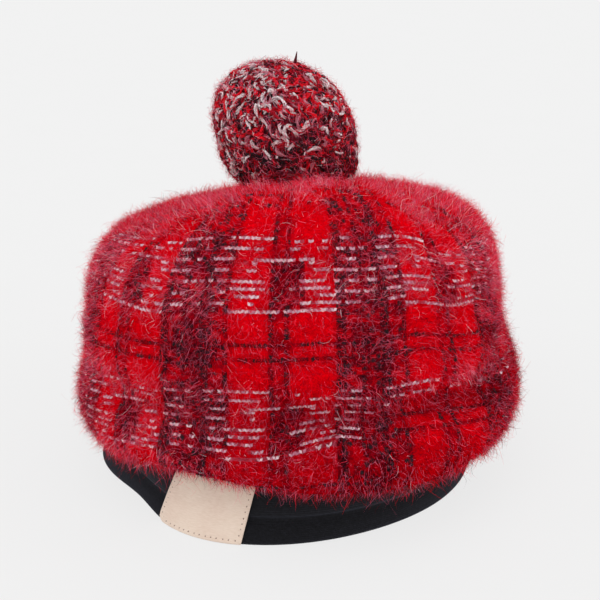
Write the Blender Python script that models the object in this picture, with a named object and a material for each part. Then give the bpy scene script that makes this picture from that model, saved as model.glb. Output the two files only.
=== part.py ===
"""Tam o' shanter: a brushed tartan crown, a black knitted headband, a cloth label
sewn to the band and a yarn pompom on top. It stands on the band's lower rim.

Axes: +Z up, +X to the viewer's right, the front at -Y. Lengths are millimetres
until a mesh is made, and angles are degrees round +Z from +X: the right side is
0, the back 90, the left side 180 and the front 270.
"""

import math
import random
from collections import namedtuple

import bmesh
import bpy
from mathutils import Matrix, Vector
from mathutils.bvhtree import BVHTree

MM = 0.001
SHARP_ANGLE = 50.0           # edges sharper than this stay crisp in the shading

# ---- Driving dimensions ----

GAP = 0.3                    # between neighbouring pieces
AROUND = 72                  # facets round the crown and the band

BAND_HALF_WIDTH = 90.0       # outline of the band's lower rim
BAND_HALF_DEPTH = 88.5
BAND_CENTRE = (-7.2, 0.3)    # of the lower rim; the band leans toward its top
BAND_TOP_CENTRE = (-1.5, 0.0)
BAND_THICKNESS = 2.6
BAND_HEIGHT = 38.0

CROWN_WALL = 4.0
CROWN_OUTER_ROWS = 29
GATHERS = 13                 # pleats drawn in under the pompom
GATHER_DEPTH = 1.3
GATHER_REACH = 2.6           # rows down from the middle

LABEL_WIDTH = 44.0           # along its lower edge
LABEL_RADIUS = 85.0          # of the band's outline where the label lies
LABEL_BOTTOM = 0.6           # above the band's rim
LABEL_TOP = 34.0
LABEL_THICKNESS = 0.9
LABEL_LIFT = 0.9             # its back above the band's face, clear of the facets
LABEL_ANGLE = 243.1          # the middle of its lower edge on the band
LABEL_LEAN = 0.1             # degrees toward the right for each millimetre up
LABEL_TAPER = 0.05           # degrees narrower on either side for each millimetre up
LABEL_CORNER = 4.0           # the one rounded lower corner
LABEL_COLUMNS = 10
LABEL_ROWS = 7

POMPOM_RADIUS = 33.0         # to the outside of its yarn loops
POMPOM_HEIGHT = 62.0
POMPOM_TOP_SQUARENESS = 2.1  # 2 is a ball, more is squarer
POMPOM_BASE_SQUARENESS = 3.3
POMPOM_LEAN = (-0.17, 0.0)   # sideways for each millimetre up
POMPOM_CENTRE = (-6.5, 5.0)  # in plan; its height follows from the crown under it
POMPOM_SEED = 7

# ---- Tables ----

# The crown's outer face from its opening up to the top: radius and height to
# the right, back, left and front.
Section = namedtuple(
    "Section", "name r_right r_back r_left r_front z_right z_back z_left z_front")
CROWN_SECTIONS = [
    Section("seam",      75,  76,  78,  76,  38.3,  38.3,  38.3,  38.3),
    Section("ledge",     80,  82,  83,  82,  38.3,  38.3,  38.3,  38.3),
    Section("tuck",      85,  89,  87,  89,  29,    30,    29,    34),
    Section("lowest",    91,  96,  92,  96,  24,    24,    24,    31),
    Section("roll",      98, 101,  98, 101,  26,    27,    26,    33),
    Section("widest",   103, 104, 102, 104,  37,    36,    35,    40),
    Section("belly",    103, 103, 102, 104,  48,    47,    46,    49),
    Section("waist",    100,  99, 100, 100,  62,    62,    61,    63),
    Section("chest",     95,  98,  98,  99,  78,    78,    77,    80),
    Section("shoulder",  92,  95,  97,  97,  94,    92,    92,    98),
    Section("corner",    89,  91,  93,  95, 110,   102,   105,   116),
    Section("brow",      82,  84,  84,  89, 122,   112,   116,   131),
    Section("top edge",  71,  72,  70,  79, 130,   118,   121,   146),
    Section("top",       50,  52,  53,  61, 135,   123,   127,   155),
    Section("slope",     29,  31,  33,  38, 132,   125,   129,   148),
    Section("dimple",    12,  13,  14,  14, 128,   127,   128,   131),
]

# The rows at which the crown's inner face follows the outer one, a wall behind it.
CROWN_INNER_ROWS = (0, 1, 2, 3, 4, 5, 6, 8, 10, 11.5, 13, 14, 15)

# Dents (push below 0) and ridges (above 0) of the crown's face. A fold runs
# round the crown at its angle, above is its place over the named section in
# rows, and rise is its climb in rows for each ten degrees toward the right.
Fold = namedtuple("Fold", "name angle half_angle section above half_rows push rise")
CROWN_FOLDS = [
    Fold("right ridge",      318, 30, "chest",     0.1, 0.7,  3.5,  0.02),
    Fold("right notch",      350, 20, "chest",     0.0, 0.5, -2.5,  0.00),
    Fold("right valley",     314, 32, "waist",     0.2, 0.5, -5.5,  0.04),
    Fold("front valley",     268, 17, "waist",     0.3, 0.6, -4.0, -0.02),
    Fold("left ridge",       212, 26, "chest",     0.0, 0.8,  2.5,  0.00),
    Fold("left valley",      222, 24, "waist",     0.1, 0.5, -3.0,  0.00),
    Fold("left roll",        196, 22, "belly",    -0.4, 1.2,  1.5,  0.00),
    Fold("lip lift",         257, 12, "lowest",    0.3, 1.0, -5.0,  0.00),
    Fold("lip drop",         300, 16, "lowest",    0.3, 1.0,  1.5,  0.00),
    Fold("back valley",       80, 44, "waist",     0.0, 0.6, -4.5,  0.05),
    Fold("back ridge",       110, 34, "chest",     0.1, 0.8,  2.5,  0.00),
    Fold("front chest",      262, 34, "shoulder",  0.6, 1.4,  2.0,  0.00),
    Fold("top right ridge",  300, 13, "top edge",  0.4, 1.6,  2.5,  0.00),
    Fold("top right dent",   322, 18, "top",       0.0, 1.3, -9.0,  0.00),
    Fold("top left dent",    222, 15, "top edge",  0.6, 1.1, -2.5,  0.00),
    Fold("top back dent",    100, 26, "top edge",  0.5, 1.2, -3.0,  0.00),
]

# Where the band's rim is pressed flatter than its outline: the middle of the
# flat, how far it spreads to either side in degrees, and its depth.
Flat = namedtuple("Flat", "angle spread depth")
BAND_FLATS = [
    Flat(211, 22, 11.0),
    Flat(300, 42,  6.2),
]

# The band's outer face from its lower rim up: height and distance inward.
BandRow = namedtuple("BandRow", "name z inset")
BAND_ROWS = [
    BandRow("rim",           0.0,  0.5),
    BandRow("rim edge",      0.9,  0.0),
    BandRow("ribs",          7.0,  1.4),
    BandRow("crease",       12.0,  4.0),
    BandRow("turn-up",      14.0,  2.9),
    BandRow("turn-up top",  24.0,  5.4),
    BandRow("seam",         BAND_HEIGHT, 10.0),
]

# Rings of yarn loops on the pompom, from the bottom up: latitude in degrees,
# loops round it, each loop's length, and how far it leans from upright.
LoopRing = namedtuple("LoopRing", "latitude count length lean")
POMPOM_RINGS = [
    LoopRing(-50,  9, 15,  20),
    LoopRing(-28, 12, 17, -15),
    LoopRing( -6, 14, 17,  15),
    LoopRing( 16, 13, 17, -20),
    LoopRing( 38, 12, 16,  20),
    LoopRing( 60,  8, 15, -25),
    LoopRing( 82,  3, 13,  30),
]
LOOP_THICKNESS = 7.0
LOOP_SIDES = 5
LOOP_STRAY = 18              # degrees to either side of its ring's lean
LOOP_SHIFT = 0.4             # along its ring, as a share of the space for one loop
LOOP_STATIONS = [(-0.5, 0.45), (0.0, 1.0), (0.5, 0.45)]   # place along it, girth
CORE_DEPTH = 3.6             # the ball under the loops, from their outside
CORE_ROWS = 10
CORE_AROUND = 18


# ---- Helpers ----

def clear_scene():
    for item in list(bpy.data.objects):
        bpy.data.objects.remove(item, do_unlink=True)


def material(name, colour, roughness):
    finish = bpy.data.materials.new(name)
    finish.use_nodes = True
    shader = finish.node_tree.nodes["Principled BSDF"]
    shader.inputs["Base Color"].default_value = (*colour, 1.0)
    shader.inputs["Roughness"].default_value = roughness
    shader.inputs["Metallic"].default_value = 0.0
    return finish


def make_object(name, mesh_builder, finish):
    """An object from a bmesh in millimetres."""
    bmesh.ops.recalc_face_normals(mesh_builder, faces=mesh_builder.faces)
    bmesh.ops.scale(mesh_builder, vec=(MM, MM, MM), verts=mesh_builder.verts)
    mesh = bpy.data.meshes.new(name)
    mesh_builder.to_mesh(mesh)
    mesh_builder.free()
    mesh.materials.append(finish)
    mesh.shade_smooth()
    mesh.set_sharp_from_angle(angle=math.radians(SHARP_ANGLE))
    piece = bpy.data.objects.new(name, mesh)
    bpy.context.scene.collection.objects.link(piece)
    return piece


def angle_between(a, b):
    """The signed turn from b to a, -180 to 180."""
    return (a - b + 180.0) % 360.0 - 180.0


def bell(distance, half_width):
    return math.exp(-(distance / half_width) ** 2)


def smooth_between(values, position):
    """A smooth curve through values at 0, 1, 2 ... read at position."""
    last = len(values) - 1
    start = min(int(position), last - 1)
    share = position - start
    before = values[max(start - 1, 0)]
    here = values[start]
    there = values[start + 1]
    after = values[min(start + 2, last)]
    slope_here = (there - before) / 2
    slope_there = (after - here) / 2
    square = share * share
    cube = square * share
    return ((2 * cube - 3 * square + 1) * here + (cube - 2 * square + share) * slope_here
            + (3 * square - 2 * cube) * there + (cube - square) * slope_there)


def around(angle, right, back, left, front):
    """A value that passes smoothly through its four sides."""
    turn = math.radians(angle)
    middle = (right + back + left + front) / 4
    oval = (right + left - back - front) / 4
    return (middle + (right - left) / 2 * math.cos(turn)
            + (back - front) / 2 * math.sin(turn) + oval * math.cos(2 * turn))


def join_rings(builder, lower, upper):
    count = len(lower)
    for step in range(count):
        after = (step + 1) % count
        builder.faces.new((lower[step], lower[after], upper[after], upper[step]))


def cap_ring(builder, ring):
    """Closes a ring over its middle."""
    middle = Vector((0, 0, 0))
    for vert in ring:
        middle += vert.co
    centre = builder.verts.new(middle / len(ring))
    for step in range(len(ring)):
        builder.faces.new((ring[step], ring[(step + 1) % len(ring)], centre))


# ---- Headband ----

def band_point(angle, height, inset):
    """A point of the band at a height, inset from the outline of its lower rim."""
    turn = math.radians(angle)
    half_width = BAND_HALF_WIDTH - inset
    half_depth = BAND_HALF_DEPTH - inset
    radius = 1 / math.hypot(math.cos(turn) / half_width, math.sin(turn) / half_depth)
    fade = 1 - height / BAND_HEIGHT
    for flat in BAND_FLATS:
        radius -= flat.depth * bell(angle_between(angle, flat.angle), flat.spread) * fade
    centre_x = BAND_TOP_CENTRE[0] + (BAND_CENTRE[0] - BAND_TOP_CENTRE[0]) * fade
    centre_y = BAND_TOP_CENTRE[1] + (BAND_CENTRE[1] - BAND_TOP_CENTRE[1]) * fade
    return Vector((centre_x + radius * math.cos(turn),
                   centre_y + radius * math.sin(turn), height))


def band_inset(height):
    """How far the band's outer face lies inward at a height."""
    for low, high in zip(BAND_ROWS, BAND_ROWS[1:]):
        if height <= high.z:
            share = (height - low.z) / (high.z - low.z)
            return low.inset + share * (high.inset - low.inset)
    return BAND_ROWS[-1].inset


def build_headband():
    outer = [(row.z, row.inset) for row in BAND_ROWS]
    inner = [(row.z, row.inset + BAND_THICKNESS) for row in reversed(BAND_ROWS)
             if row.name in ("rim", "crease", "seam")]
    profile = outer + inner
    builder = bmesh.new()
    rings = []
    for height, inset in profile:
        ring = []
        for step in range(AROUND):
            ring.append(builder.verts.new(band_point(step * 360.0 / AROUND, height, inset)))
        rings.append(ring)
    for index, ring in enumerate(rings):
        join_rings(builder, ring, rings[(index + 1) % len(rings)])
    return make_object("headband", builder, material("black knit", (0.012, 0.013, 0.018), 0.9))


# ---- Crown ----

def crown_base(angle, row):
    """The crown's outer face without its folds."""
    radii = []
    heights = []
    for section in CROWN_SECTIONS:
        radii.append(around(angle, section.r_right, section.r_back,
                            section.r_left, section.r_front))
        heights.append(around(angle, section.z_right, section.z_back,
                              section.z_left, section.z_front))
    turn = math.radians(angle)
    radius = smooth_between(radii, row)
    return Vector((radius * math.cos(turn), radius * math.sin(turn),
                   smooth_between(heights, row)))


def crown_normal(angle, row):
    step = 0.05
    last = len(CROWN_SECTIONS) - 1
    along = crown_base(angle, min(row + step, last)) - crown_base(angle, max(row - step, 0))
    side = crown_base(angle + 1.0, row) - crown_base(angle - 1.0, row)
    return side.cross(along).normalized()


def row_of(name):
    """The row at which the named section lies."""
    return [section.name for section in CROWN_SECTIONS].index(name)


def crown_push(angle, row):
    """How far the folds and gathers move the crown's face outward."""
    push = 0.0
    for fold in CROWN_FOLDS:
        turn = angle_between(angle, fold.angle)
        height = row - row_of(fold.section) - fold.above - fold.rise * turn / 10.0
        push += fold.push * bell(turn, fold.half_angle) * bell(height, fold.half_rows)
    last = len(CROWN_SECTIONS) - 1
    gather = bell(last - row, GATHER_REACH)
    push += GATHER_DEPTH * gather * math.cos(math.radians(angle * GATHERS))
    return push * min(row / row_of("roll"), 1.0)


def crown_point(angle, row, depth=0.0):
    """A point of the crown, depth millimetres under its outer face."""
    push = crown_push(angle, row) - depth
    return crown_base(angle, row) + crown_normal(angle, row) * push


def crown_ring(builder, row, depth):
    ring = []
    for step in range(AROUND):
        ring.append(builder.verts.new(crown_point(step * 360.0 / AROUND, row, depth)))
    return ring


def build_crown():
    last = len(CROWN_SECTIONS) - 1
    builder = bmesh.new()
    outer = []
    for index in range(CROWN_OUTER_ROWS):
        outer.append(crown_ring(builder, last * index / (CROWN_OUTER_ROWS - 1), 0.0))
    inner = [crown_ring(builder, row, CROWN_WALL) for row in CROWN_INNER_ROWS]
    for rings in (outer, inner):
        for lower, upper in zip(rings, rings[1:]):
            join_rings(builder, lower, upper)
        cap_ring(builder, rings[-1])
    join_rings(builder, inner[0], outer[0])
    return make_object("crown", builder, material("tartan knit", (0.62, 0.01, 0.03), 0.95))


# ---- Label ----

def label_point(share, height, lift):
    """A point of the label: share 0 to 1 across it, lifted off the band's face."""
    half_turn = math.degrees(LABEL_WIDTH / 2 / LABEL_RADIUS) - LABEL_TAPER * height
    angle = LABEL_ANGLE + LABEL_LEAN * height + half_turn * (2 * share - 1)
    return band_point(angle, height, band_inset(height) - lift)


def build_label():
    """A cloth tab that follows the band's outer face."""
    builder = bmesh.new()
    grids = []
    for lift in (LABEL_LIFT, LABEL_LIFT + LABEL_THICKNESS):
        grid = []
        for row in range(LABEL_ROWS + 1):
            line = []
            for column in range(LABEL_COLUMNS + 1):
                share = column / LABEL_COLUMNS
                rise = corner_rise(share)
                height = LABEL_BOTTOM + rise
                height += (LABEL_TOP - height) * row / LABEL_ROWS
                line.append(builder.verts.new(label_point(share, height, lift)))
            grid.append(line)
        grids.append(grid)
    for grid in grids:
        for lower, upper in zip(grid, grid[1:]):
            for column in range(LABEL_COLUMNS):
                builder.faces.new((lower[column], lower[column + 1],
                                   upper[column + 1], upper[column]))
    join_rings(builder, outline_of(grids[0]), outline_of(grids[1]))
    return make_object("label", builder, material("label cloth", (0.80, 0.66, 0.58), 0.8))


def corner_rise(share):
    """How far the label's lower edge rises at its rounded left corner."""
    inward = share * LABEL_WIDTH
    if inward >= LABEL_CORNER:
        return 0.0
    return LABEL_CORNER - math.sqrt(LABEL_CORNER ** 2 - (LABEL_CORNER - inward) ** 2)


def outline_of(grid):
    """The verts round the edge of a grid, in order."""
    bottom = grid[0]
    top = grid[-1]
    right = [line[-1] for line in grid[1:-1]]
    left = [line[0] for line in grid[1:-1]]
    return bottom + right + top[::-1] + left[::-1]


# ---- Pompom ----

def pompom_point(latitude, longitude, depth=0.0):
    """A point of the ball about its middle, depth millimetres under its outside."""
    up = math.sin(math.radians(latitude))
    out = math.cos(math.radians(latitude))
    power = POMPOM_TOP_SQUARENESS if latitude > 0 else POMPOM_BASE_SQUARENESS
    reach = (abs(up) ** power + abs(out) ** power) ** (-1 / power)
    radius = (POMPOM_RADIUS - depth) * out * reach
    height = (POMPOM_HEIGHT / 2 - depth) * up * reach
    turn = math.radians(longitude)
    return Vector((radius * math.cos(turn) + POMPOM_LEAN[0] * height,
                   radius * math.sin(turn) + POMPOM_LEAN[1] * height, height))


def pompom_directions(latitude, longitude):
    """Outward, upward and sideways directions of the ball's outside."""
    upward = pompom_point(latitude + 2, longitude) - pompom_point(latitude - 2, longitude)
    sideways = pompom_point(latitude, longitude + 2) - pompom_point(latitude, longitude - 2)
    upward.normalize()
    sideways.normalize()
    return sideways.cross(upward).normalized(), upward, sideways


def add_loop(builder, latitude, longitude, lean, length):
    """A short loop of yarn lying on the ball: a bent bar that narrows to its ends."""
    outward, upward, sideways = pompom_directions(latitude, longitude)
    along = upward * math.cos(lean) + sideways * math.sin(lean)
    across = along.cross(outward)
    centre = pompom_point(latitude, longitude, LOOP_THICKNESS / 2)
    rings = []
    for place, girth in LOOP_STATIONS:
        bend = (place * length) ** 2 / (2 * POMPOM_RADIUS)
        middle = centre + along * (place * length) - outward * bend
        ring = []
        for side in range(LOOP_SIDES):
            turn = 2 * math.pi * side / LOOP_SIDES
            offset = across * math.cos(turn) + outward * math.sin(turn)
            ring.append(builder.verts.new(middle + offset * (LOOP_THICKNESS / 2 * girth)))
        rings.append(ring)
    for lower, upper in zip(rings, rings[1:]):
        join_rings(builder, lower, upper)
    builder.faces.new(rings[0])
    builder.faces.new(rings[-1])


def pompom_core(builder):
    """The closed ball under the loops."""
    step = 180 // CORE_ROWS
    rings = []
    for latitude in range(-90 + step, 90, step):
        ring = []
        for index in range(CORE_AROUND):
            point = pompom_point(latitude, 360.0 * index / CORE_AROUND, CORE_DEPTH)
            ring.append(builder.verts.new(point))
        rings.append(ring)
    for lower, upper in zip(rings, rings[1:]):
        join_rings(builder, lower, upper)
    cap_ring(builder, rings[0])
    cap_ring(builder, rings[-1])


def pompom_loops(builder):
    rng = random.Random(POMPOM_SEED)
    for ring in POMPOM_RINGS:
        for index in range(ring.count):
            longitude = 360.0 * (index + LOOP_SHIFT * rng.random()) / ring.count
            lean = math.radians(ring.lean + rng.uniform(-LOOP_STRAY, LOOP_STRAY))
            add_loop(builder, ring.latitude, longitude, lean, ring.length)


def lift_onto(piece, carrier):
    """The lift that leaves GAP between piece and carrier where they come closest."""
    rest = BVHTree.FromObject(carrier, bpy.context.evaluated_depsgraph_get())
    down = Vector((0, 0, -1))
    closest = math.inf
    for vert in piece.data.vertices:
        start = Vector((vert.co.x, vert.co.y, 1.0))
        hit = rest.ray_cast(start, down)[0]
        closest = min(closest, vert.co.z - hit.z)
    return GAP * MM - closest


def build_pompom(crown):
    finish = material("pompom yarn", (0.35, 0.03, 0.05), 0.95)
    core = bmesh.new()
    pompom_core(core)
    pompom = make_object("pompom", core, finish)
    loops = bmesh.new()
    pompom_loops(loops)
    yarn = make_object("pompom_loops", loops, finish)
    yarn.hide_render = True
    yarn.display_type = "WIRE"
    place = Vector((*POMPOM_CENTRE, 0)) * MM
    for piece in (pompom, yarn):
        piece.data.transform(Matrix.Translation(place))
    lift = max(lift_onto(pompom, crown), lift_onto(yarn, crown))
    for piece in (pompom, yarn):
        piece.location.z = lift
    union = pompom.modifiers.new("loops", "BOOLEAN")
    union.operation = "UNION"
    union.solver = "EXACT"
    union.use_self = True
    union.object = yarn
    return pompom


def main():
    clear_scene()
    build_headband()
    crown = build_crown()
    build_label()
    build_pompom(crown)


main()
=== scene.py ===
"""Tam o' shanter: the finish of each piece, the floor, the light and the camera.

The crown becomes a brushed tartan knit with raised stitches and a coat of hair, the
headband fine ribs, the label sewn cloth and the pompom plied yarn. Each follows the
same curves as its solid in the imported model.

Axes: +Z up, +X to the viewer's right, the front at -Y. Lengths are millimetres until
a mesh is made, and angles are degrees round +Z from +X: the right side is 0, the back
90, the left side 180 and the front 270. On the crown a place is a wale (a column of
stitches, counted round it) and a course (a row of stitches, counted downward).
"""

import math
from collections import namedtuple

import bpy
import numpy as np
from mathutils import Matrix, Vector

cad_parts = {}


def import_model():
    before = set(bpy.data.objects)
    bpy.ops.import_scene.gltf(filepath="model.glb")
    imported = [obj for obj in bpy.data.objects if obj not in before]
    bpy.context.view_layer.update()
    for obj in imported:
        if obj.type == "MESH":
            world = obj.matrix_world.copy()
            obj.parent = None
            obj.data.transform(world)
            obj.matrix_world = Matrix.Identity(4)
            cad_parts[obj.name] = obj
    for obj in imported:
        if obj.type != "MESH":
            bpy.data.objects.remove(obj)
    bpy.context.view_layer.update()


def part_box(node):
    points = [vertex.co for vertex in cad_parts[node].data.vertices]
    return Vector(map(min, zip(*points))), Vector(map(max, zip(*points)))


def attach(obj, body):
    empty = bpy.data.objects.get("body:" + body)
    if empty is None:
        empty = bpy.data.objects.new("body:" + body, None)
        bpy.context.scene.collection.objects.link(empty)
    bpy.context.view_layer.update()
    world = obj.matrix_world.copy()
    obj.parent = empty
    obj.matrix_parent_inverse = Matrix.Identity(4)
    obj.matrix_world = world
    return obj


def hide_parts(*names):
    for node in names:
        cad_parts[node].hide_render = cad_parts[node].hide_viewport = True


MM = 0.001

# ---- The crown's form: the same tables as its solid ----

Section = namedtuple(
    "Section", "name r_right r_back r_left r_front z_right z_back z_left z_front")
CROWN_SECTIONS = [
    Section("seam",      75,  76,  78,  76,  38.3,  38.3,  38.3,  38.3),
    Section("ledge",     80,  82,  83,  82,  38.3,  38.3,  38.3,  38.3),
    Section("tuck",      85,  89,  87,  89,  29,    30,    29,    34),
    Section("lowest",    91,  96,  92,  96,  24,    24,    24,    31),
    Section("roll",      98, 101,  98, 101,  26,    27,    26,    33),
    Section("widest",   103, 104, 102, 104,  37,    36,    35,    40),
    Section("belly",    103, 103, 102, 104,  48,    47,    46,    49),
    Section("waist",    100,  99, 100, 100,  62,    62,    61,    63),
    Section("chest",     95,  98,  98,  99,  78,    78,    77,    80),
    Section("shoulder",  92,  95,  97,  97,  94,    92,    92,    98),
    Section("corner",    89,  91,  93,  95, 110,   102,   105,   116),
    Section("brow",      82,  84,  84,  89, 122,   112,   116,   131),
    Section("top edge",  71,  72,  70,  79, 130,   118,   121,   146),
    Section("top",       50,  52,  53,  61, 135,   123,   127,   155),
    Section("slope",     29,  31,  33,  38, 132,   125,   129,   148),
    Section("dimple",    12,  13,  14,  14, 128,   127,   128,   131),
]
# Folds: where the middle of each lies, at an angle and some rows above a section, how
# far it reaches and pushes outward, and how many rows it climbs in FOLD_TURN degrees.
FOLD_TURN = 10.0
Fold = namedtuple("Fold", "name angle half_angle section above half_rows push rise")
CROWN_FOLDS = [
    Fold("right ridge",      318, 30, "chest",     0.1, 0.7,  3.5,  0.02),
    Fold("right notch",      350, 20, "chest",     0.0, 0.5, -2.5,  0.00),
    Fold("right valley",     314, 32, "waist",     0.2, 0.5, -5.5,  0.04),
    Fold("front valley",     268, 17, "waist",     0.3, 0.6, -4.0, -0.02),
    Fold("left ridge",       212, 26, "chest",     0.0, 0.8,  2.5,  0.00),
    Fold("left valley",      222, 24, "waist",     0.1, 0.5, -3.0,  0.00),
    Fold("left roll",        196, 22, "belly",    -0.4, 1.2,  1.5,  0.00),
    Fold("lip lift",         257, 12, "lowest",    0.3, 1.0, -5.0,  0.00),
    Fold("lip drop",         300, 16, "lowest",    0.3, 1.0,  1.5,  0.00),
    Fold("back valley",       80, 44, "waist",     0.0, 0.6, -4.5,  0.05),
    Fold("back ridge",       110, 34, "chest",     0.1, 0.8,  2.5,  0.00),
    Fold("front chest",      262, 34, "shoulder",  0.6, 1.4,  2.0,  0.00),
    Fold("top right ridge",  300, 13, "top edge",  0.4, 1.6,  2.5,  0.00),
    Fold("top right dent",   322, 18, "top",       0.0, 1.3, -9.0,  0.00),
    Fold("top left dent",    222, 15, "top edge",  0.6, 1.1, -2.5,  0.00),
    Fold("top back dent",    100, 26, "top edge",  0.5, 1.2, -3.0,  0.00),
]
Gap = namedtuple("Gap", "angle half_angle row half_rows rise")
LABEL_GAP = Gap(238, 16, 3.0, 1.9, 7.0)      # the knit's lip rides up over the label
CROWN_WALL = 4.0
GATHERS = 13                 # pleats round the pompom
GATHER_DEPTH = 1.3
GATHER_REACH = 2.6           # rows
LAST_ROW = len(CROWN_SECTIONS) - 1

# ---- The headband's and the label's form ----

BAND_HALF_WIDTH = 90.0
BAND_HALF_DEPTH = 88.5
BAND_CENTRE = (-7.2, 0.3)
BAND_TOP_CENTRE = (-1.5, 0.0)
BAND_THICKNESS = 2.6
BAND_HEIGHT = 38.0
Flat = namedtuple("Flat", "angle spread depth")
BAND_FLATS = [
    Flat(211, 22, 11.0),
    Flat(300, 42,  6.2),
]
BAND_HEIGHTS = [0.0, 0.9, 7.0, 12.0, 14.0, 24.0, BAND_HEIGHT]
BAND_INSETS = [0.5, 0.0, 1.4, 4.0, 2.9, 5.4, 10.0]

LABEL_WIDTH = 44.0
LABEL_RADIUS = 85.0
LABEL_BOTTOM = 0.6
LABEL_TOP = 34.0
LABEL_LIFT = 0.9
LABEL_THICKNESS = 0.9
LABEL_ANGLE = 243.1
LABEL_LEAN = 0.1             # degrees that it turns in a millimetre of height
LABEL_TAPER = 0.05           # and that it narrows on each side
LABEL_CORNER = 4.0
LABEL_HEIGHTS = [0.0, 5.0, 14.0, 24.0, BAND_HEIGHT]
LABEL_INSETS = [0.2, 0.9, 2.9, 5.4, 10.0]

# ---- The pompom's form ----

POMPOM_RADIUS = 33.0
POMPOM_HEIGHT = 62.0
POMPOM_TOP_SQUARENESS = 2.1
POMPOM_BASE_SQUARENESS = 3.3
POMPOM_PLAN = (-6.5, 5.0)    # its middle from above
POMPOM_LEAN = (-0.17, 0.0)

# ---- The tartan ----

REPEATS = 8                  # of the sett round the crown
REPEAT_WALES = 36
WALES = REPEATS * REPEAT_WALES
SETT_COURSES = 42
WHITE_COURSES = 20           # the white lines lie in the first courses of a sett, to this
COURSES_ABOVE = 50           # from the pole down to the first white line
COURSES_BELOW = 88           # and on down to the seam
PAIR_ANGLE = 265.9           # a pair of thin dark stripes faces the viewer here
# How far down from the pole, along the cloth, three lines of the tartan lie at each
# angle: its first white line, its last one and the next repeat's first.
Lines = namedtuple("Lines", "angle first last again")
TARTAN_LINES = [
    Lines(  0, 91, 114, 150),
    Lines( 45, 88, 114, 150),
    Lines( 90, 88, 115, 151),
    Lines(135, 86, 113, 150),
    Lines(180, 86, 112, 151),
    Lines(200, 81, 108, 150),
    Lines(215, 80, 111, 148),
    Lines(230, 83, 116, 150),
    Lines(245, 88, 119, 154),
    Lines(260, 91, 121, 156),
    Lines(275, 93, 122, 157),
    Lines(290, 94, 123, 158),
    Lines(300, 94, 121, 156),
    Lines(310, 90, 117, 149),
    Lines(323, 88, 112, 147),
    Lines(337, 94, 115, 149),
]
Pull = namedtuple("Pull", "angle half_angle course reach")
LOWER_PULL = Pull(281, 13, SETT_COURSES + WHITE_COURSES, 9.0)    # mm up, into the crease
KNIT_DEPTH = 1.2             # the knit lies this far under the outside of its coat

# ---- Colours, as red, green and blue from 0 to 1 on the screen ----

RED = (0.88, 0.0, 0.055)
DEEP_RED = (0.62, 0.0, 0.06)
MAROON = (0.32, 0.01, 0.07)
BLACK = (0.11, 0.06, 0.09)
DARK = (0.19, 0.07, 0.11)
WHITE = (0.88, 0.78, 0.81)
PALE = (0.80, 0.65, 0.71)
ROSE = (0.72, 0.48, 0.56)
BRAID_SHADE = (0.66, 0.36, 0.45)     # the cloth under the white yarn


# ---- Small helpers ----

def linear(colour):
    """A screen colour as the linear values that a shader takes."""
    return [value / 12.92 if value <= 0.04045 else ((value + 0.055) / 1.055) ** 2.4
            for value in colour]


def angle_between(a, b):
    return (a - b + 180.0) % 360.0 - 180.0


def bell(distance, half_width):
    return np.exp(-(distance / half_width) ** 2)


def unit(vectors):
    return vectors / np.maximum(np.linalg.norm(vectors, axis=-1, keepdims=True), 1e-9)


def smooth_between(values, position):
    """Smooth curves through the rows of values, one curve a column, read at position."""
    last = len(values) - 1
    start = np.clip(position.astype(int), 0, last - 1)
    share = position - start
    column = np.arange(position.size)
    before = values[np.maximum(start - 1, 0), column]
    here = values[start, column]
    there = values[start + 1, column]
    after = values[np.minimum(start + 2, last), column]
    square = share * share
    cube = square * share
    return ((2 * cube - 3 * square + 1) * here
            + (cube - 2 * square + share) * (there - before) / 2
            + (3 * square - 2 * cube) * there + (cube - square) * (after - here) / 2)


def around(angle, right, back, left, front):
    """A value at each angle that runs smoothly through four given ones."""
    turn = np.radians(angle)
    middle = (right + back + left + front) / 4
    oval = (right + left - back - front) / 4
    return (middle + (right - left) / 2 * np.cos(turn)
            + (back - front) / 2 * np.sin(turn) + oval * np.cos(2 * turn))


# ---- The crown's face ----

def crown_base(angle, row):
    """The surface through the sections, without folds."""
    radius, height = (smooth_between(np.array([around(angle, *section[start:start + 4])
                                               for section in CROWN_SECTIONS]), row)
                      for start in (1, 5))
    turn = np.radians(angle)
    return np.stack([radius * np.cos(turn), radius * np.sin(turn), height], axis=-1)


def crown_normal(angle, row):
    step = 0.05
    along = (crown_base(angle, np.minimum(row + step, LAST_ROW))
             - crown_base(angle, np.maximum(row - step, 0.0)))
    side = crown_base(angle + 1.0, row) - crown_base(angle - 1.0, row)
    return unit(np.cross(side, along))


def row_of(name):
    return [section.name for section in CROWN_SECTIONS].index(name)


def crown_push(angle, row):
    """How far the folds and gathers move the surface outward."""
    push = np.zeros_like(angle)
    for fold in CROWN_FOLDS:
        turn = angle_between(angle, fold.angle)
        height = (row - row_of(fold.section) - fold.above
                  - fold.rise * turn / FOLD_TURN)
        push += fold.push * bell(turn, fold.half_angle) * bell(height, fold.half_rows)
    push += (GATHER_DEPTH * bell(LAST_ROW - row, GATHER_REACH)
             * np.cos(np.radians(angle * GATHERS)))
    return push * np.minimum(row / row_of("roll"), 1.0)


def crown_point(angle, row, lift=0.0):
    """Points of the crown's face, lifted off it, for arrays of angles and rows."""
    push = crown_push(angle, row) + lift - KNIT_DEPTH
    points = crown_base(angle, row) + crown_normal(angle, row) * np.reshape(push, (-1, 1))
    raised = bell(angle_between(angle, LABEL_GAP.angle), LABEL_GAP.half_angle)
    points[:, 2] += LABEL_GAP.rise * raised * bell(row - LABEL_GAP.row, LABEL_GAP.half_rows)
    return points


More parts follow.
